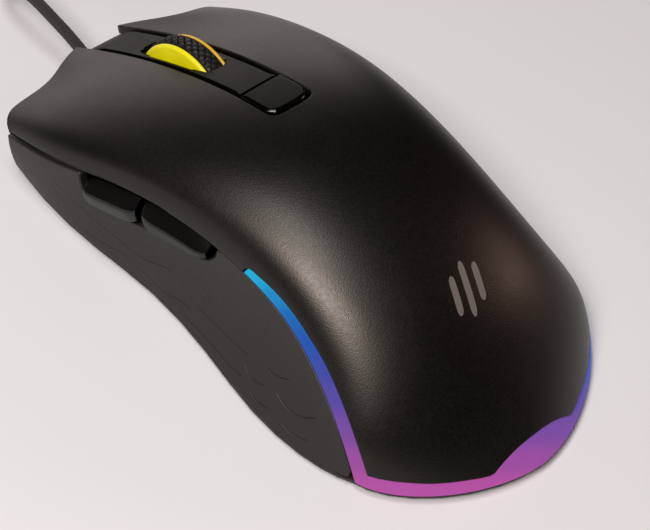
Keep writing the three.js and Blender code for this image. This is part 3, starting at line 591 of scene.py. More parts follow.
def shell_material():
    """Near-black case plastic with a fine warm sheen."""
    k = Net("shell_plastic")
    big = k.noise(scale=30, detail=4, rough=0.6)
    k.set(Base_Color=k.mix(k.spread(big), (0.0009, 0.0007, 0.0006), (0.0014, 0.0011, 0.0009)))
    smudge = k.noise(scale=45, detail=5, rough=0.65)
    fine = k.noise(scale=1500, detail=2, rough=0.6)
    k.set(Roughness=k.math("ADD", k.spread(smudge, 0.36, 0.41), k.spread(fine, -0.03, 0.03)))
    k.set(Specular_IOR_Level=0.44, Specular_Tint=(1.0, 0.93, 0.86))
    lump = k.noise(scale=1700, detail=2, rough=0.5)
    k.set(Normal=k.pebble(lump, weight=0.6, cell=k.cells(0.27), depth=0.0150))
    return k.mat


# Contour grooves cut along the sides: (y, z) along each line
GROOVES = [
    [(-13.6, 8.3), (-9.1, 7.9), (-4.3, 7.7), (2.0, 7.6), (7.1, 8.6), (10.5, 9.7), (12.9, 8.9),
     (17.4, 7.5), (22.2, 7.8), (26.5, 8.2), (32.4, 9.4), (40.0, 11.6)],
    [(-14.6, 4.4), (-10.5, 3.9), (-5.9, 3.8), (-1.4, 3.7), (2.3, 3.5), (7.6, 4.2), (10.8, 4.0),
     (14.2, 4.2), (17.5, 4.6), (21.3, 5.1), (26.0, 4.3), (30.2, 3.9), (34.8, 4.6), (38.6, 8.2),
     (44.0, 11.0)],
    [(2.5, 5.6), (6.0, 5.3), (9.0, 4.7), (11.5, 5.0), (14.0, 6.0)],
    [(-19.7, 6.4), (-16.4, 5.8), (-14.0, 6.7)],
    [(-24.0, 10.9), (-21.5, 9.8), (-18.6, 9.5)],
    [(-23.0, 4.0), (-20.4, 3.5), (-17.8, 3.9)],
    [(-32.4, 8.8), (-30.3, 7.3), (-27.1, 6.6), (-23.1, 7.3)],
    [(-33.1, 4.3), (-29.9, 3.6), (-27.3, 3.8)],
]
GROOVE_TOP = 24  # height at the top of each groove's curve


def groove_distance(k, line, y, z):
    """Height distance to one groove; it grows past either end, so the cut fades out."""
    y0, y1 = line[0][0], line[-1][0]
    node = k.add("ShaderNodeFloatCurve")
    points = node.mapping.curves[0].points
    places = [((py - y0) / (y1 - y0), pz / GROOVE_TOP) for py, pz in line]
    points[0].location = places[0]
    for place in places[1:-1]:
        points.new(*place)
    points[-1].location = places[-1]
    node.mapping.update()
    k.put(node.inputs["Value"], k.remap(y, y0 * MM, y1 * MM, 0, 1))
    height = k.math("MULTIPLY", node.outputs[0], GROOVE_TOP * MM)
    gap = k.math("ABSOLUTE", k.math("SUBTRACT", height, z))
    before, beyond = k.math("SUBTRACT", y0 * MM, y), k.math("SUBTRACT", y, y1 * MM)
    past = k.math("MAXIMUM", before, beyond)
    return k.math("ADD", gap, k.math("MAXIMUM", past, 0.0))


def grip_material():
    k = Net("grip_rubber")
    big = k.noise(scale=34, detail=4, rough=0.6)
    tone = k.mix(k.spread(big), (0.0108, 0.0086, 0.0082), (0.0155, 0.0126, 0.0121))
    fine = k.noise(scale=1600, detail=3, rough=0.6)
    k.set(Roughness=k.spread(fine, 0.52, 0.64), Specular_IOR_Level=0.45)
    axes = k.add("ShaderNodeSeparateXYZ")
    k.put(axes.inputs[0], k.coord)
    nearest = None
    for line in GROOVES:
        gap = groove_distance(k, line, axes.outputs["Y"], axes.outputs["Z"])
        nearest = gap if nearest is None else k.math("MINIMUM", nearest, gap)
    uncut = k.remap(nearest, 0.03 * MM, 0.24 * MM, 0.0, 1.0, "SMOOTHSTEP")
    # the grooves are coloured near-black: painted shade in the grooves, on top of their bump cut
    k.set(Base_Color=k.mix(uncut, (0.0012, 0.0010, 0.0010), tone))
    cut = k.bump(uncut, depth=0.12)
    cells = k.cells(0.35, smooth=0.6)
    k.set(Normal=k.pebble(fine, weight=0.8, cell=cells, depth=0.016, under=cut))
    return k.mat


def linear(channel):
    """Linear value of an 8-bit sRGB channel."""
    c = channel / 255
    return c / 12.92 if c <= 0.04045 else ((c + 0.055) / 1.055) ** 2.4


# Guide colours: ramp position from the arms' front ends to the tail, 8-bit sRGB
GUIDE_COLOURS = [
    (0.0208333, (0, 178, 224)), (0.075, (0, 166, 213)), (0.15, (0, 132, 196)),
    (0.241667, (0, 98, 178)), (0.354167, (22, 78, 170)), (0.466667, (56, 68, 160)),
    (0.575, (82, 68, 158)), (0.708333, (116, 71, 155)), (0.833333, (152, 74, 156)),
    (0.95, (178, 78, 160)),
]
# Ramp input: the sight line's upward slope times gain plus offset, taken from start to end
GUIDE_RAMP = dict(gain=-2206.42, offset=265.0, start=260, end=500)


def guide_material():
    """Milky light guide whose colour runs with the upward slope of the sight line."""
    k = Net("light_guide_lit")
    sight = k.vector("SUBTRACT", k.coord, tuple(VIEW_PLACE))[0]
    rise, depth = (k.vector("DOT_PRODUCT", sight, tuple(a))["Value"] for a in (UP, FORWARD))
    slope = k.math("DIVIDE", rise, depth)
    level = k.math("MULTIPLY_ADD", slope, GUIDE_RAMP["gain"], GUIDE_RAMP["offset"])
    node = k.add("ShaderNodeValToRGB")
    k.put(node.inputs[0], k.remap(level, GUIDE_RAMP["start"], GUIDE_RAMP["end"], 0, 1))
    ramp = node.color_ramp
    ramp.interpolation = "EASE"
    while len(ramp.elements) > 1:
        ramp.elements.remove(ramp.elements[-1])
    for i, (position, colour) in enumerate(GUIDE_COLOURS):
        stop = ramp.elements[0] if i == 0 else ramp.elements.new(position)
        stop.position = position
        stop.color = (*map(linear, colour), 1)
    colour = node.outputs[0]
    k.set(Base_Color=k.mix(0.96, colour, (0.004, 0.004, 0.006)))
    glow = k.noise(scale=55, detail=3, rough=0.5)
    k.set(Emission_Color=colour, Emission_Strength=k.spread(glow, 0.92, 1.0))
    k.set(Roughness=k.spread(glow, 0.42, 0.50), Specular_IOR_Level=0.12)
    k.set(Normal=k.bump(k.noise(scale=700, detail=2, rough=0.5), depth=0.01))
    return k.mat


def wheel_material(name, low, high):
    """Faintly glowing plastic of the wheel, between two tones."""
    k = Net(name)
    tone = k.mix(k.spread(k.noise(scale=120, detail=3, rough=0.5)), low, high)
    k.set(Base_Color=tone, Emission_Color=tone, Emission_Strength=0.30)
    k.set(Roughness=k.spread(k.noise(scale=600, detail=2, rough=0.5), 0.36, 0.46))
    k.set(Normal=k.bump(k.noise(scale=900, detail=2, rough=0.5), depth=0.01))
    return k.mat


def braid_material():
    """Woven sleeve, two sets of yarns crossing. UV: x runs along in mm, y goes round."""
    along_rate, round_rate = 0.9, 8.0  # yarns per millimetre, yarns per turn
    k = Net("cable_braid")
    axes = k.add("ShaderNodeSeparateXYZ")
    k.put(axes.inputs[0], k.add("ShaderNodeUVMap", uv_map="along").outputs[0])
    waves = []
    for op in ("ADD", "SUBTRACT"):
        along = k.math("MULTIPLY", axes.outputs["X"], along_rate)
        turn = k.math("MULTIPLY", axes.outputs["Y"], round_rate)
        phase = k.math(op, along, turn)
        waves.append(k.math("SINE", k.math("MULTIPLY", phase, 2 * math.pi)))
    crossing = k.math("MULTIPLY", *waves)
    ridge = k.math("MULTIPLY", k.math("ABSOLUTE", k.math("ADD", *waves)), 0.4)
    yarn = k.math("ADD", crossing, ridge)
    fray = k.noise(scale=2600, detail=2, rough=0.7)
    height = k.math("MULTIPLY_ADD", fray, 0.6, yarn)
    # the yarns are coloured darker where their height sinks: painted shade between the yarns,
    # varied by a noise
    tone = k.remap(height, -0.8, 1.4, 0, 1)
    k.set(Base_Color=k.mix(tone, (0.006, 0.0055, 0.005), (0.035, 0.030, 0.027)))
    k.set(Roughness=k.spread(fray, 0.55, 0.75), Normal=k.bump(height, depth=0.10))
    return k.mat


MAT = {
    "shell": shell_material(),
    "satin": plastic("satin_plastic", base=(0.0036, 0.0032, 0.0029), rough=0.50, grain=0.006,
                     cell=0.45, wear=0.05, spec=0.19),
    # a lighter, shinier copy of satin: painted light on the thumb buttons' lit outer faces and low
    # edge
    "satin_painted_lit": plastic("satin_painted_lit_edge", base=(0.0052, 0.0046, 0.0043), rough=0.44, grain=0.008,
                           cell=0.4, wear=0.05, spec=0.32),
    "gloss": plastic("gloss_chamfer", base=(0.0010, 0.0010, 0.0010), rough=0.12, grain=0.002,
                     cell=0.8, wear=0.03, spec=0.22),
    "grip": grip_material(),
    "base": plastic("base_plastic", base=(0.0105, 0.0102, 0.010), rough=0.55, grain=0.02,
                    cell=0.5),
    "guide": guide_material(),
    "lime": wheel_material("wheel_lime", low=(0.44, 0.39, 0.0), high=(0.56, 0.52, 0.0)),
    "amber": wheel_material("wheel_amber", low=(0.42, 0.24, 0.012), high=(0.50, 0.30, 0.02)),
    # near-black top faces of the thumb buttons: painted shade under the key's edge
    "painted_shade": plastic("button_top_painted_shade", base=(0.0012, 0.0011, 0.0010), rough=0.55, grain=0.004,
                     cell=0.45, spec=0.06),
    "tyre": plastic("tyre_rubber", base=(0.0045, 0.0044, 0.0043), rough=0.52, grain=0.010,
                    cell=0.3, spec=0.26),
    "board": plastic("board_mask", base=(0.008, 0.085, 0.038), rough=0.36, grain=0.006,
                     cell=1.4, vary=0.2),
    "chip": plastic("chip_epoxy", base=(0.011, 0.011, 0.012), rough=0.5, grain=0.01, cell=0.25),
    "nylon": plastic("nylon", base=(0.62, 0.60, 0.54), rough=0.5, grain=0.008, cell=0.6,
                     vary=0.05),
    "red": plastic("red_plastic", base=(0.42, 0.015, 0.015), rough=0.32, grain=0.004, cell=0.5),
    "steel": plastic("zinc_steel", base=(0.58, 0.58, 0.59), rough=0.28, grain=0.006, cell=0.25,
                     metal=1.0, vary=0.06, stretch=(1.0, 0.12, 1.0)),
    "clear": plastic("lens_clear", base=(0.80, 0.84, 0.86), rough=0.12, grain=0.002, cell=1.0,
                     vary=0.03),
    "led": plastic("led_milky", base=(0.80, 0.79, 0.72), rough=0.3, grain=0.004, cell=0.4,
                   vary=0.04),
    "skate": plastic("glide_foot", base=(0.014, 0.014, 0.0145), rough=0.36, grain=0.004,
                     cell=0.3),
    "braid": braid_material(),
    "mark": plastic("mark_ink", base=(0.105, 0.092, 0.086), rough=0.46, grain=0.006, cell=0.4,
                    vary=0.05),
}
lens_shader = MAT["clear"].node_tree.nodes["Principled BSDF"]
lens_shader.inputs["Transmission Weight"].default_value = 0.75


# ------------------------------------------------------------------ main keys
def key_piece(side):
    """Left (-1) or right (1) key; grid rows run nose to flex line, columns channel to rim."""
    edge_v = 0.997
    name = "left_key" if side < 0 else "right_key"
    rows = np.linspace(0, 1, 64)[:, None]
    cols = np.linspace(0, 1, 50)
    # the nose edge is scooped at the finger and drawn back at the outer corner
    nose_u = 0.01
    x = np.abs(upper(nose_u, lerp(v_at_x(nose_u, CHANNEL_EDGE), edge_v, cols))[:, 0])
    scoop = 0.030 * np.exp(-(((x - 18.3) / 7.6) ** 2))
    corner = np.where(x > 26, 0.0010 * np.maximum(0, x - 26) ** 1.5, 0)
    u = lerp((scoop + corner + 0.0005)[None, :], U_FLEX - FLEX_GAP_U, rows)
    v = side * lerp(v_at_x(u, CHANNEL_EDGE), edge_v, cols[None, :])
    ob = plate(name + "_shell", upper(u, v), normal(u, v), [MAT["shell"]],
               radius=(0.7, 0.6, 0.4, 0.38), steps=5, flex_sides=(2,))
    tell(ob, replaces=name)
    return ob


BLEND_X, BLEND_Z = 15, 0.037  # millimetres, metres
left_key = key_piece(-1)
right_key = key_piece(1)
for ob, body, x in ((left_key, "left_key", -BLEND_X), (right_key, "right_key", BLEND_X)):
    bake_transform(ob)


# ------------------------------------------------------------------ palm cover
def cover_side(u):
    """|v| of the cover's side edge: full width, then stepping in beside the light guide."""
    full = 0.996
    t = np.clip((u - GUIDE_U) / 0.011, 0, 1)
    target = arm(np.maximum(u, ARM_U)) - 0.0015
    return full - (full - target) * np.sqrt(1 - (1 - t) ** 2)


def cover_piece():
    """Cover with a bowed notch at its front middle; its flex edges drop straight."""
    notch_steps, side_steps = 14, 34
    notch_v = float(v_at_x(np.array(U_FLEX), CHANNEL_EDGE))
    half = [notch_v * (1 - (1 - k / notch_steps) ** 2) for k in range(notch_steps + 1)]
    half += [lerp(notch_v, 1, k / side_steps) for k in range(1, side_steps + 1)]
    half = np.array(half)
    w = np.concatenate([-half[:0:-1], half])

    tail_gap = 0.0012
    first = U_FLEX + FLEX_GAP_U
    last = float(tail_line(COVER_TAIL_V)) - tail_gap
    us = list(np.linspace(first, GUIDE_U - 0.006, 26)) + [GUIDE_U - 0.003, GUIDE_U]
    us += [GUIDE_U + 0.011 * (k / 7) ** 2 for k in range(1, 8)]
    us += list(np.linspace(us[-1], last, 62)[1:])
    s = (np.array(us) - first) / (last - first)

    notch_u = float(u_crown(9.15))
    bow = np.sqrt(np.maximum(0, 1 - np.clip(np.abs(w) / notch_v, 0, 1) ** 4))
    front = np.where(np.abs(w) < notch_v, notch_u * bow + first * (1 - bow), first)
    back = tail_line(np.abs(w) * COVER_TAIL_V) - tail_gap
    u = lerp(front[None, :], back[None, :], s[:, None])
    v = w[None, :] * cover_side(np.clip(u, 0, TAIL_U))
    mid = len(w) // 2
    ob = plate("top_cover_shell", upper(u, v), normal(u, v), [MAT["shell"]], radius=0.25,
               flex_columns=((0, mid - notch_steps), (mid + notch_steps, len(w) - 1)))
    tell(ob, replaces="top_cover", ride="case")


cover_piece()


# ------------------------------------------------------------------ light guide
def guide_piece():
    """Band round the tail, two arms running forward; between the cover edge and the rim."""
    start_u = GUIDE_U + 0.0035
    nose_u = 0.012
    tail_steps = 49
    us = [start_u + nose_u * (k / 8) ** 2 for k in range(8)]
    us += list(np.linspace(start_u + nose_u, TAIL_U, 66))
    top, low = [], []  # (u, v) from the left arm's front end to the middle of the tail
    for u in us:
        t = (u - start_u) / (TAIL_U - start_u)
        swell = math.sqrt(max(0.0, 1 - (1 - min(1, (u - start_u) / 0.010)) ** 2))
        top.append((u, -lerp(0.985, float(arm(max(u, ARM_U))) + 0.0010, swell)))
        low.append((lerp(start_u, 1, t**1.04), -0.994))
    for i in range(1, tail_steps + 1):
        v = lerp(GUIDE_TAIL_V, 0, i / tail_steps)
        top.append((float(tail_line(v)) + 0.0004, -v))
        low.append((1.0, -lerp(1, 0, i / tail_steps)))
    top, low = (np.array(line + [(u, -v) for u, v in line[-2::-1]]) for line in (top, low))
    across = np.array([0, 0.12, 0.3, 0.5, 0.7, 0.88, 1.0])
    grid = lerp(top[:, None, :], low[:, None, :], across[None, :, None])
    points, normals = upper(grid[..., 0], grid[..., 1]), normal(grid[..., 0], grid[..., 1])
    inner = points - normals * 1.5
    inner[..., 2] = np.maximum(inner[..., 2], np.minimum(points[..., 2], 1.95))
    ob = plate("light_guide_band", points, normals, [MAT["guide"]], radius=0.14, steps=3,
               inner=inner)
    tell(ob, replaces="light_guide", ride="case")


guide_piece()

# ------------------------------------------------------------------ side grips
# (y, z) corners of the left grip's opening for the thumb buttons, nose to tail
THUMB_OPENING = [
    (32.6, 17), (32.1, 14.2), (31.0, 13.1), (28.6, 13.2), (24.0, 14.1), (18.2, 15.2),
    (10.0, 17.1), (5.6, 18.1), (2.7, 18.9), (0.8, 20.1), (-0.4, 22.2),
]
OPENING_FRONT, OPENING_BACK = 32.7, -0.9


def densify(points, step):
    out = [np.array(points[0], float)]
    for p, q in zip(points[:-1], points[1:]):
        k = max(1, int(math.ceil(np.linalg.norm(q - p) / step)))
        out += [p + (q - p) * (i / k) for i in range(1, k + 1)]
    return np.array(out)


def chaikin(points, times):
    """Cuts a polyline's corners, keeping its ends."""
    points = np.array(points, float)
    for _ in range(times):
        a, b = points[:-1], points[1:]
        mid = np.stack([a * 0.75 + b * 0.25, a * 0.25 + b * 0.75], 1).reshape(-1, 2)
        points = np.concatenate([points[:1], mid, points[-1:]])
    return points


def under_rim(y):
    """(y, z) just below the rim."""
    return np.stack([y, rim_height(y) - key_gap(y)], -1)


def grip_piece(side):
    """Left (-1) or right (1) side grip; the left one is cut out for the thumb buttons."""
    name = "left_side_grip" if side < 0 else "right_side_grip"
    top = under_rim(rim_y(np.linspace(0.004, TAIL_U, 120)))
    if side < 0:
        margin = 0.35
        top = densify(np.concatenate([
            top[top[:, 0] > OPENING_FRONT + margin],
            under_rim(np.array([OPENING_FRONT])),
            chaikin(THUMB_OPENING, times=3),
            under_rim(np.array([OPENING_BACK])),
            top[top[:, 0] < OPENING_BACK - margin],
        ]), step=0.8)
    arc = arc_lengths(top)
    y_low = lerp(top[:, 0], lerp(top[0, 0], top[-1, 0], arc / arc[-1]), 0.75)
    low = np.stack([y_low, np.full(len(top), 1.9)], -1)
    t = np.array([0, 0.09, 0.18, 0.28, 0.38, 0.48, 0.58, 0.68, 0.78, 0.87, 0.94, 1.0])
    grid = lerp(top[None], low[None], t[:, None, None])
    y, z = grid[..., 0], grid[..., 1]

    def reach(yy, zz):
        x = side_at(yy, zz)
        return -x if side < 0 else flank(x, yy)

    points = np.stack([reach(y, z), y, z], -1)
    e = 0.05
    zero, run = np.zeros(y.shape), np.full(y.shape, 2 * e)
    along = np.stack([reach(y + e, z) - reach(y - e, z), run, zero], -1)
    rise = np.stack([reach(y, z + e) - reach(y, z - e), zero, run], -1)
    normals = unit(np.cross(along, rise))
    normals *= np.sign(normals[..., :1]) * side
    ob = plate(name + "_skin", points, normals, [MAT["grip"]], radius=0.35,
               inner=points - np.array([side * WALL, 0, 0]))
    tell(ob, replaces=name, ride="case")


grip_piece(-1)
grip_piece(1)


# ------------------------------------------------------------------ thumb buttons
def thumb_piece(name, y_back, y_front, low_back, low_front, slant=0.0):
    """Left-side button with a ridge along its length; low_* are its lower edge's heights."""
    s = np.concatenate([[0], np.linspace(0.035, 0.965, 34), [1]])
    t = np.array([0, 0.1, 0.2, 0.3, 0.38, 0.42, 0.45, 0.47, 0.49, 0.52, 0.57, 0.66, 0.77, 0.88,
                  0.95, 1.0])
    ridge_t = 0.47
    S, T = np.meshgrid(s, t, indexing="ij")
    y = lerp(y_back, y_front, S)
    end = np.abs(2 * S - 1)
    high = rim_height(y) - key_gap(y) - 0.13 - 0.5 * end**6
    low = lerp(low_back, low_front, (y - y_back) / (y_front - y_back)) + 1.5 * end**6
    z = lerp(high, low, T)
    # the front end leans back under the key's edge
    y = y - slant * (1 - T) * np.clip((S - 0.6) / 0.4, 0, 1) ** 2
    above = np.clip(T / ridge_t, 0, 1)
    below = np.clip((T - ridge_t) / (1 - ridge_t), 0, 1)
    corner = 1 - 0.10 * np.exp(-(((T - ridge_t) / 0.03) ** 2))
    out = np.where(T <= ridge_t, -0.9 + 2.8 * above**0.85, 1.9 - 0.8 * below**1.7)
    out = out * np.where(T > 0.36, corner, 1)
    x = side_at(y, z) + np.where(out > 0, out * (1 - 0.55 * end**7), out)
    points = np.stack([-x, y, z], -1)
    # the top faces take the painted shade; the low edge's rounding takes the lighter, painted-lit
    # satin
    ob = plate(name + "_cap", points, grid_normals(points, np.array([-1.0, 0, 0.15])),
               [MAT["painted_shade"], MAT["satin_painted_lit"]], radius=0.3, edge_sides=(2,),
               inner=np.stack([np.full(y.shape, -26.0), y, z], -1))
    # painted light and shade: the ridge and all below it take the lighter, lit copy of satin, the
    # faces above it the near-black painted shade
    steps = len(t) - 1
    for face in ob.data.polygons[:(len(s) - 1) * steps]:
        if t[face.index % steps] >= ridge_t - 0.03:
            face.material_index = 1
    tell(ob, replaces=name, ride=name)


thumb_piece("forward_button", y_back=18.2, y_front=31.8, low_back=15.8, low_front=13.0,
            slant=1.0)
thumb_piece("back_button", y_back=0.8, y_front=17.0, low_back=19.7, low_front=16.0)

# ------------------------------------------------------------------ centre strip round the wheel
STRIP_HALF = 4.95
STRIP_FRONT, STRIP_BACK = 60.6, 18.95
SLOT_X, SLOT_LENGTH, SLOT_Y, SLOT_POWER = 3.45, 9.32, 38.68, 4.44  # half sizes, centre, shape
RAIL = 7.9  # half length of the slot's sides before its end caps


def slot_at(y):
    """Half width of the wheel slot."""
    part = np.abs((y - SLOT_Y) / SLOT_LENGTH) ** SLOT_POWER
    return SLOT_X * np.maximum(0, 1 - part) ** (1 / SLOT_POWER)


def strip_cap(end):
    """Slot and outer outlines past the rails, right to left, at the nose (1) or tail (-1) end."""
    y_rail = SLOT_Y + end * RAIL
    slot = [(slot_at(y_rail), y_rail)]
    for q in np.linspace(0, 1, 400):
        c, s = np.cos(q * np.pi), np.sin(q * np.pi)
        x = np.sign(c) * abs(c) ** (2 / SLOT_POWER) * SLOT_X
        y = SLOT_Y + end * abs(s) ** (2 / SLOT_POWER) * SLOT_LENGTH
        if abs(y - SLOT_Y) >= RAIL:
            slot.append((x, y))
    slot.append((-slot[0][0], y_rail))

    y_end, radius = (STRIP_FRONT, 1.1) if end > 0 else (STRIP_BACK, 0.45)
    x_arc, y_arc = STRIP_HALF - radius, y_end - end * radius
    outer = [(STRIP_HALF, y_rail), (STRIP_HALF, y_arc)]
    for k in range(1, 7):
        angle = k / 7 * np.pi / 2
        outer.append((x_arc + radius * np.cos(angle), y_arc + end * radius * np.sin(angle)))
    outer.append((x_arc, y_end))
    outer += [(-x, y) for x, y in outer[::-1]]
    fractions = np.linspace(0, 1, 57)[1:-1]
    return resample(np.array(slot), fractions), resample(np.array(outer), fractions)


def offset(loop, distance):
    edge = unit(np.roll(loop, -1, 0) - np.roll(loop, 1, 0))
    return loop + np.asarray(distance)[..., None] * np.stack([-edge[:, 1], edge[:, 0]], -1)


def wheel_room(loop):
    """Lowest height that stays clear of the wheel; no limit beside it."""
    x = np.abs(loop[:, 0])
    r = np.where(x < 2.3, TYRE_R, HUB_R) + 0.15
    dy = np.abs(loop[:, 1] - WHEEL_Y)
    z = WHEEL_Z + np.sqrt(np.maximum(0, r**2 - dy**2))
    return np.where((x < 3.35) & (dy < r), z, -99)


def strip_top(loop):
    """Height of the strip's face: sunk under the master surface, most of all at the nose."""
    x, y = loop.T
    u = u_over(x, y)
    t = np.clip((u - 0.15) / 0.18, 0, 1)
    sunk = lerp(0.34, 0.1, t * t * (3 - 2 * t))
    nose = np.maximum(0, (y - 56.0) / 4.6) ** 2 * 1.3
    return upper(u, v_at_x(u, x))[:, 2] - sunk - nose


def strip_piece():
    y_rail = np.linspace(SLOT_Y - RAIL, SLOT_Y + RAIL, 26)
    front_slot, front_outer = strip_cap(1)
    back_slot, back_outer = strip_cap(-1)

    def outline(rail_x, front, back):
        right, left = np.stack([rail_x, y_rail], -1), np.stack([-rail_x, y_rail], -1)
        return np.concatenate([right, front, left[::-1], back[::-1]])

    slot = outline(slot_at(y_rail), front_slot, back_slot)
    outer = outline(np.full(26, STRIP_HALF), front_outer, back_outer)
    slot_lip = offset(slot, -0.28)  # away from the slot
    # the long edges have a wide polished bevel, the two ends a narrow one
    full_bevel = 0.72
    narrow = 0.16
    y = outer[:, 1]
    fade_back = np.clip((y - STRIP_BACK) / 0.8, 0, 1)
    fade_front = np.clip((STRIP_FRONT + 0.6 - y) / 2.0, 0, 1)
    bevel = narrow + (full_bevel - narrow) * fade_back * fade_front
    bevel_lip = offset(outer, bevel)

    # (outline, depth under the face), from the slot out
    rings = [(slot, 0.75), (lerp(slot, slot_lip, 0.35), 0.28), (slot_lip, 0.03)]
    rings += [(lerp(slot_lip, bevel_lip, k), 0.0) for k in (0.25, 0.5, 0.75)]
    first_bevel = len(rings)
    rings += [(bevel_lip, 0.02), (lerp(bevel_lip, outer, 0.12), 0.09),
              (lerp(bevel_lip, outer, 0.85), 0.62), (lerp(bevel_lip, outer, 0.97), 0.78),
              (outer, 1.0)]
    verts = []
    for i, (loop, low) in enumerate(rings):
        scale = bevel / full_bevel if i >= first_bevel else 1.0
        top = strip_top(loop)
        room = np.minimum(wheel_room(loop), top - 0.04 * (low > 0))
        verts.append(np.column_stack([loop, np.maximum(top - low * scale, room)]))
    # the underside is hollowed over the wheel
    for loop in (outer, slot):
        top = strip_top(loop)
        under = np.maximum(top - 2.4, np.minimum(wheel_room(loop), top - 0.08))
        verts.append(np.column_stack([loop, under]))
    bands, count = len(verts), len(slot)
    polished = [int(k < 2 or first_bevel <= k < bands - 1) for k in range(bands)]
    ob = make_object("centre_strip_top", np.concatenate(verts), torus_faces(bands, count),
                     [MAT["satin"], MAT["gloss"]], sharp=24,
                     face_mats=np.repeat(polished, count))
    tell(ob, replaces="centre_strip", ride="case")


strip_piece()


# ------------------------------------------------------------------ centre button
def dpi_piece():
    """Button behind the strip; its grid runs back to front, left to right."""
    s = np.concatenate([[0], np.linspace(0.12, 0.94, 18), [1]])
    q = np.concatenate([[-1], np.linspace(-0.80, 0.80, 21), [1]])
    S, Q = np.meshgrid(s, q, indexing="ij")
    y_back = 9.75 + 1.9 * (1 - np.sqrt(np.maximum(0, 1 - np.abs(Q) ** 3.4)))
    points, normals = over(5.2 * Q, lerp(y_back, 18.05, S))
    edge = np.maximum(np.abs(2 * S - 1) ** 6, np.abs(Q) ** 6)
    points = points + normals * (0.50 - 0.12 * edge)[..., None]
    ob = plate("dpi_button_cap", points, normals, [MAT["satin"], MAT["gloss"]],
               radius=(0.7, 0.45, 0.16, 0.6), drop=1.9, steps=5, edge_sides=(0, 1, 3),
               inner=points - normals * 2.4)
    tell(ob, replaces="dpi_button", ride="dpi_button")


dpi_piece()


# ------------------------------------------------------------------ wheel
def hub_piece():
    # (radius, x) of the right half, from the bore out and round the rim
    right = [
        (1.7, 1.6), (3.2, 1.6), (3.2, 2.75), (4.4, 2.75), (5.0, 2.95), (HUB_R - 0.40, 2.95),
        (HUB_R, 2.55), (HUB_R, 2.1), (HUB_R - 0.9, 2.02), (10.3, 2.02),
    ]
    profile = [(r, -x) for r, x in right] + right[::-1]

    def mat_of(a, b):
        """Plain plastic at the bore, amber on the right half, lime elsewhere."""
        if max(a[0], b[0]) < 4.2:
            return 1
        return 2 if min(a[1], b[1]) > 1.0 else 0

    hub = lathe("wheel_hub_rims", round_profile(profile, radius=0.22, steps=3), 128,
                [MAT["lime"], MAT["base"], MAT["amber"]], sharp=40, mat_of=mat_of)
    tell(hub, replaces="wheel_hub", ride="wheel")


def axle_piece():
    # (radius, x), left to right
    profile = [(0.01, -14.0), (1.1, -14.0), (1.3, -13.8), (1.3, -9.1), (1.7, -8.9), (1.7, 9.95),
               (1.45, 10.2), (0.01, 10.2)]
    tell(lathe("wheel_axle", profile, 32, [MAT["base"]], sharp=35), ride="wheel")


def tyre_piece():
    """Tyre with a diamond tread."""
    around, half, foot_r = 384, 1.92, 10.35
    tread_pitch, tread_width, groove_part, groove_depth = 40, 1.75, 0.16, 0.42
    crown = np.linspace(-half, half, 25)
    crown_r = TYRE_R - 0.62 * (np.abs(crown) / half) ** 4
    profile_x = np.concatenate([[-half], crown, [half]])
    profile_r = np.concatenate([[foot_r], crown_r, [foot_r]])
    angle, x = np.meshgrid(turns(around), profile_x, indexing="ij")
    turn = angle / (2 * np.pi) * tread_pitch
    a, b = (turn + x / tread_width) % 1.0, (turn - x / tread_width) % 1.0
    near = np.minimum(np.minimum(a, 1 - a), np.minimum(b, 1 - b))
    land = np.clip(near / groove_part, 0, 1)
    land = land * land * (3 - 2 * land)
    treaded = np.zeros(len(profile_x))
    treaded[2:-2] = 1
    r = profile_r[None, :] - groove_depth * (1 - land) * treaded[None, :]
    tyre = make_object("wheel_tyre_tread", about_wheel(x, r, angle),
                       torus_faces(around, len(profile_x)), [MAT["tyre"]], sharp=50)
    tell(tyre, replaces="wheel_tyre", ride="wheel")


hub_piece()
axle_piece()
tyre_piece()

# ------------------------------------------------------------------ cable
# (x, y, z) along the cable, from inside the nose to the plug
CABLE = [
    (0, 56.4, 8), (0, 60.5, 8.1), (0, 64.5, 8.9), (0, 68.3, 10.1), (0, 72, 11.1),
    (0, 75.6, 11.8), (0, 79.2, 12.5), (0.1, 83.2, 12.8), (0.8, 88.6, 11.4), (2.6, 93.6, 8),
    (6.2, 98.2, 4.6), (11.6, 101.6, 2.3), (18, 103, 1.9), (25, 103, 3.2), (30, 103, 4.3),
    (33.4, 103, 4.4),
]


def catmull(path, count):
    """Centripetal curve through the path, sampled evenly by length; and its length."""
    p = np.array(path, float)
    p = np.concatenate([[2 * p[0] - p[1]], p, [2 * p[-1] - p[-2]]])
    out = []
    for i in range(1, len(p) - 2):
        q = p[i - 1:i + 3]
        t = [0.0]
        for k in range(3):
            t.append(t[-1] + np.linalg.norm(q[k + 1] - q[k]) ** 0.5)

        def blend(first, last, a, b, s):
            return ((t[last] - s) * a + (s - t[first]) * b) / (t[last] - t[first])

        for s in np.linspace(t[1], t[2], 40, endpoint=False):
            a1, a2, a3 = (blend(k, k + 1, q[k], q[k + 1], s) for k in range(3))
            b1, b2 = blend(0, 2, a1, a2, s), blend(1, 3, a2, a3, s)
            out.append(blend(1, 2, b1, b2, s))
    out.append(p[-2])
    out = np.array(out)
    return resample(out, np.linspace(0, 1, count)), arc_lengths(out)[-1]


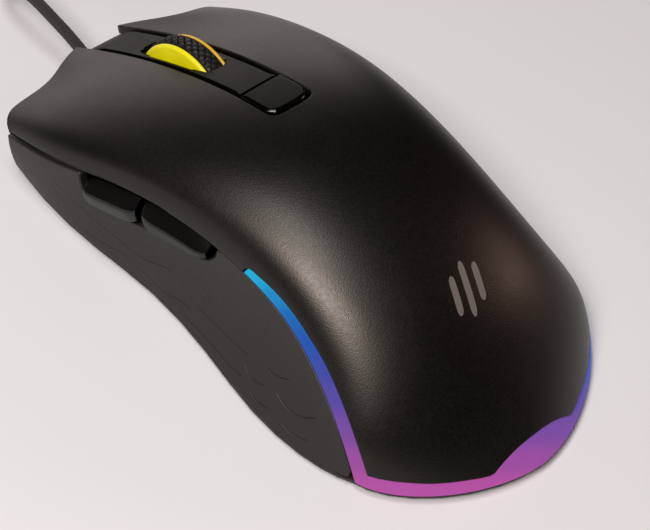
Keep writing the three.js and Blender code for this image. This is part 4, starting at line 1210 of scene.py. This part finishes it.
def cable_piece():
    radius, rings, around = 1.25, 420, 36
    weave_depth, weave_rate, strands = 0.09, 0.45, 6
    centre, length = catmull(CABLE, rings)
    tangent = unit(np.gradient(centre, axis=0))
    # a frame carried along the curve without twist
    across = np.zeros_like(centre)
    a = unit(np.cross(tangent[0], [1.0, 0, 0]))
    for i in range(rings):
        a = a - tangent[i] * np.dot(a, tangent[i])
        a = a / np.linalg.norm(a)
        across[i] = a
    other = np.cross(tangent, across)
    along = np.linspace(0, length, rings)
    S, A = np.meshgrid(along, turns(around), indexing="ij")
    phase = 2 * np.pi * (weave_rate * S)
    crossing = np.sin(phase + strands * A) * np.sin(phase - strands * A)
    r = (radius - weave_depth * (0.5 - 0.5 * crossing))[..., None]
    turn = np.cos(A)[..., None] * across[:, None, :] + np.sin(A)[..., None] * other[:, None, :]
    verts = (centre[:, None, :] + r * turn).reshape(-1, 3).tolist()
    uv = [(s, j / around) for s in along for j in range(around)]
    loop = np.arange(around)
    faces = []
    for i in range(rings - 1):
        faces += band_faces(i * around + loop, (i + 1) * around + loop)
    for end, step in ((0, -1), (rings - 1, 1)):
        middle = len(verts)
        verts.append(centre[end].tolist())
        uv.append((along[end], 0.5))
        for j in range(around):
            faces.append((end * around + j, end * around + (j + 1) % around, middle)[::step])
    cable = make_object("usb_cable_braid", verts, faces, [MAT["braid"]], sharp=60, uv=uv)
    tell(cable, replaces="usb_cable", ride="case")


cable_piece()


# ------------------------------------------------------------------ printed mark on the cover
def mark_piece():
    """Three short slanted bars, a plain invented sign."""
    pitch, centre_y, lean, width = 3.1, -37.6, 0.38, 1.5
    rows, cols = 14, 6
    s, r = np.meshgrid(np.linspace(-0.5, 0.5, rows), np.linspace(-0.5, 0.5, cols), indexing="ij")
    wide = width * np.sqrt(np.maximum(0.12, 1 - np.abs(2 * s) ** 8))
    bi, bj = border(rows, cols)
    size = rows * cols
    verts, faces = [], []
    for k, length in ((-1, 6.0), (0, 8.6), (1, 6.0)):
        x = k * pitch + s * length * lean + r * wide
        points, normals = over(x, centre_y + s * length)
        base = len(verts)
        for lift in (0.018, -0.05):
            verts += (points + normals * lift).reshape(-1, 3).tolist()
        faces += grid_faces(rows, cols, base)
        faces += grid_faces(rows, cols, base + size, flip=True)
        loop = base + bi * cols + bj
        faces += band_faces(loop, loop + size)
    ob = make_object("cover_mark", verts, faces, [MAT["mark"]], sharp=40)
    tell(ob, ride="case")


mark_piece()

# ------------------------------------------------------------------ CAD nodes that keep their shape
KEPT = {
    "base": ["bottom_shell", "side_button_frame", "cable_sleeve"],
    "nylon": ["encoder_rotor", "axle_bush", "cable_header", "plug_tongue"],
    "chip": ["encoder_housing", "left_key_switch", "right_key_switch", "wheel_press_switch",
             "dpi_switch", "forward_switch", "back_switch", "sensor_chip", "controller_chip"],
    "board": ["main_board", "side_board"],
    "red": ["left_key_plunger", "right_key_plunger", "wheel_press_plunger", "dpi_plunger",
            "forward_plunger", "back_plunger"],
    "steel": ["capacitor", "front_left_screw", "front_right_screw", "rear_left_screw",
              "rear_right_screw", "board_left_screw", "board_right_screw", "plug_shell"],
    "clear": ["sensor_lens"],
    "led": ["led_left", "led_right", "led_tail", "led_wheel"],
    "skate": ["front_left_foot", "front_right_foot", "sensor_foot", "rear_left_foot",
              "rear_right_foot"],
    "satin": ["plug_body"],
}
SMALL_PARTS = ("chip", "red", "nylon", "led", "steel")


def paint(name, key):
    ob = NODES[name]
    ob.data.materials.clear()
    ob.data.materials.append(MAT[key])
    return ob


for key, names in KEPT.items():
    for name in names:
        bevel = paint(name, key).modifiers.new("edge", "BEVEL")
        bevel.width = (0.12 if key in SMALL_PARTS else 0.2) * MM
        bevel.segments = 2
        bevel.limit_method = "ANGLE"
        bevel.angle_limit = math.radians(38)
        bevel.harden_normals = False
paint("cable_loom", "skate")


# ------------------------------------------------------------------ stage (metres from here on)
def floor_piece(half, z):
    mat, shader = new_material("floor_paper")
    shader.inputs["Base Color"].default_value = (0.60, 0.61, 0.63, 1)
    shader.inputs["Roughness"].default_value = 0.75
    me = bpy.data.meshes.new("floor")
    corners = [(-half, -half, z), (half, -half, z), (half, half, z), (-half, half, z)]
    me.from_pydata(corners, [], [(0, 1, 2, 3)])
    me.materials.append(mat)
    link_object("floor", me)


floor_piece(half=6.0, z=-0.0001)

world = bpy.data.worlds.new("studio")
world.use_nodes = True
background = world.node_tree.nodes["Background"]
background.inputs["Color"].default_value = (0.80, 0.82, 0.85, 1)
background.inputs["Strength"].default_value = 0.010
bpy.context.scene.world = world


def area(name, place, target, size, power, colour, size_y=None):
    light = bpy.data.lights.new(name, "AREA")
    light.energy = power
    light.color = colour
    light.shape = "RECTANGLE"
    light.size = size
    light.size_y = size_y or size
    ob = link_object(name, light)
    ob.location = Vector(place)
    ob.rotation_euler = (Vector(target) - Vector(place)).to_track_quat("-Z", "Y").to_euler()


def from_glint(name, right_slope, up_slope, distance, **light):
    """A light mirrored into the view by the case top, where a sight line meets it.

    The slopes are the sight line's run to the right and up per unit of depth."""
    ray = unit(FORWARD + RIGHT * right_slope + UP * up_slope)
    u, v = np.meshgrid(np.linspace(0.02, 0.95, 240), np.linspace(-0.98, 0.98, 240), indexing="ij")
    points, normals = upper(u, v) * MM, normal(u, v)
    sight = points - VIEW_PLACE
    depth = sight @ FORWARD
    miss = (sight @ RIGHT / depth - right_slope) ** 2 + (sight @ UP / depth - up_slope) ** 2
    miss[normals @ ray >= -0.02] = np.inf
    nearest = np.unravel_index(np.argmin(miss), miss.shape)
    point, n = points[nearest], normals[nearest]
    area(name, point + (ray - 2 * np.dot(ray, n) * n) * distance, point, **light)


def from_sky(name, azimuth, elevation, distance, **light):
    """A light aimed at the mouse's middle; angles in degrees, azimuth from +X towards +Y."""
    target = Vector((0, 0, 0.02))
    a, e = math.radians(azimuth), math.radians(elevation)
    way = Vector((math.cos(a) * math.cos(e), math.sin(a) * math.cos(e), math.sin(e)))
    area(name, target + way * distance, target, **light)


from_glint("shoulder_light", right_slope=-0.00135967, up_slope=-0.01223702, distance=0.85,
           size=0.34, size_y=0.30, power=8.4, colour=(1.0, 0.91, 0.85))
from_sky("front_softbox", azimuth=66, elevation=9, distance=1.25,
         size=1.5, size_y=0.46, power=3.8, colour=(1.0, 0.91, 0.86))
from_sky("amber_kicker", azimuth=-25, elevation=23, distance=0.9,
         size=0.20, power=0.85, colour=(1.0, 0.66, 0.54))
from_sky("left_fill", azimuth=150, elevation=2, distance=1.1,
         size=0.4, size_y=0.08, power=0.45, colour=(1.0, 0.88, 0.86))
from_sky("top_light", azimuth=172, elevation=76, distance=1.3,
         size=0.42, power=6.8, colour=(1.0, 0.98, 0.96))

camera = bpy.data.cameras.new("view")
camera.sensor_width = 36
camera.lens = 122.20172
camera.clip_start, camera.clip_end = 0.01, 100
camera_ob = link_object("view", camera)
pose = Matrix.Identity(4)
for k, column in enumerate((RIGHT, UP, -FORWARD, VIEW_PLACE)):
    for i in range(3):
        pose[i][k] = column[i]
camera_ob.matrix_world = pose
bpy.context.scene.camera = camera_ob
bpy.context.scene.view_settings.view_transform = "Standard"
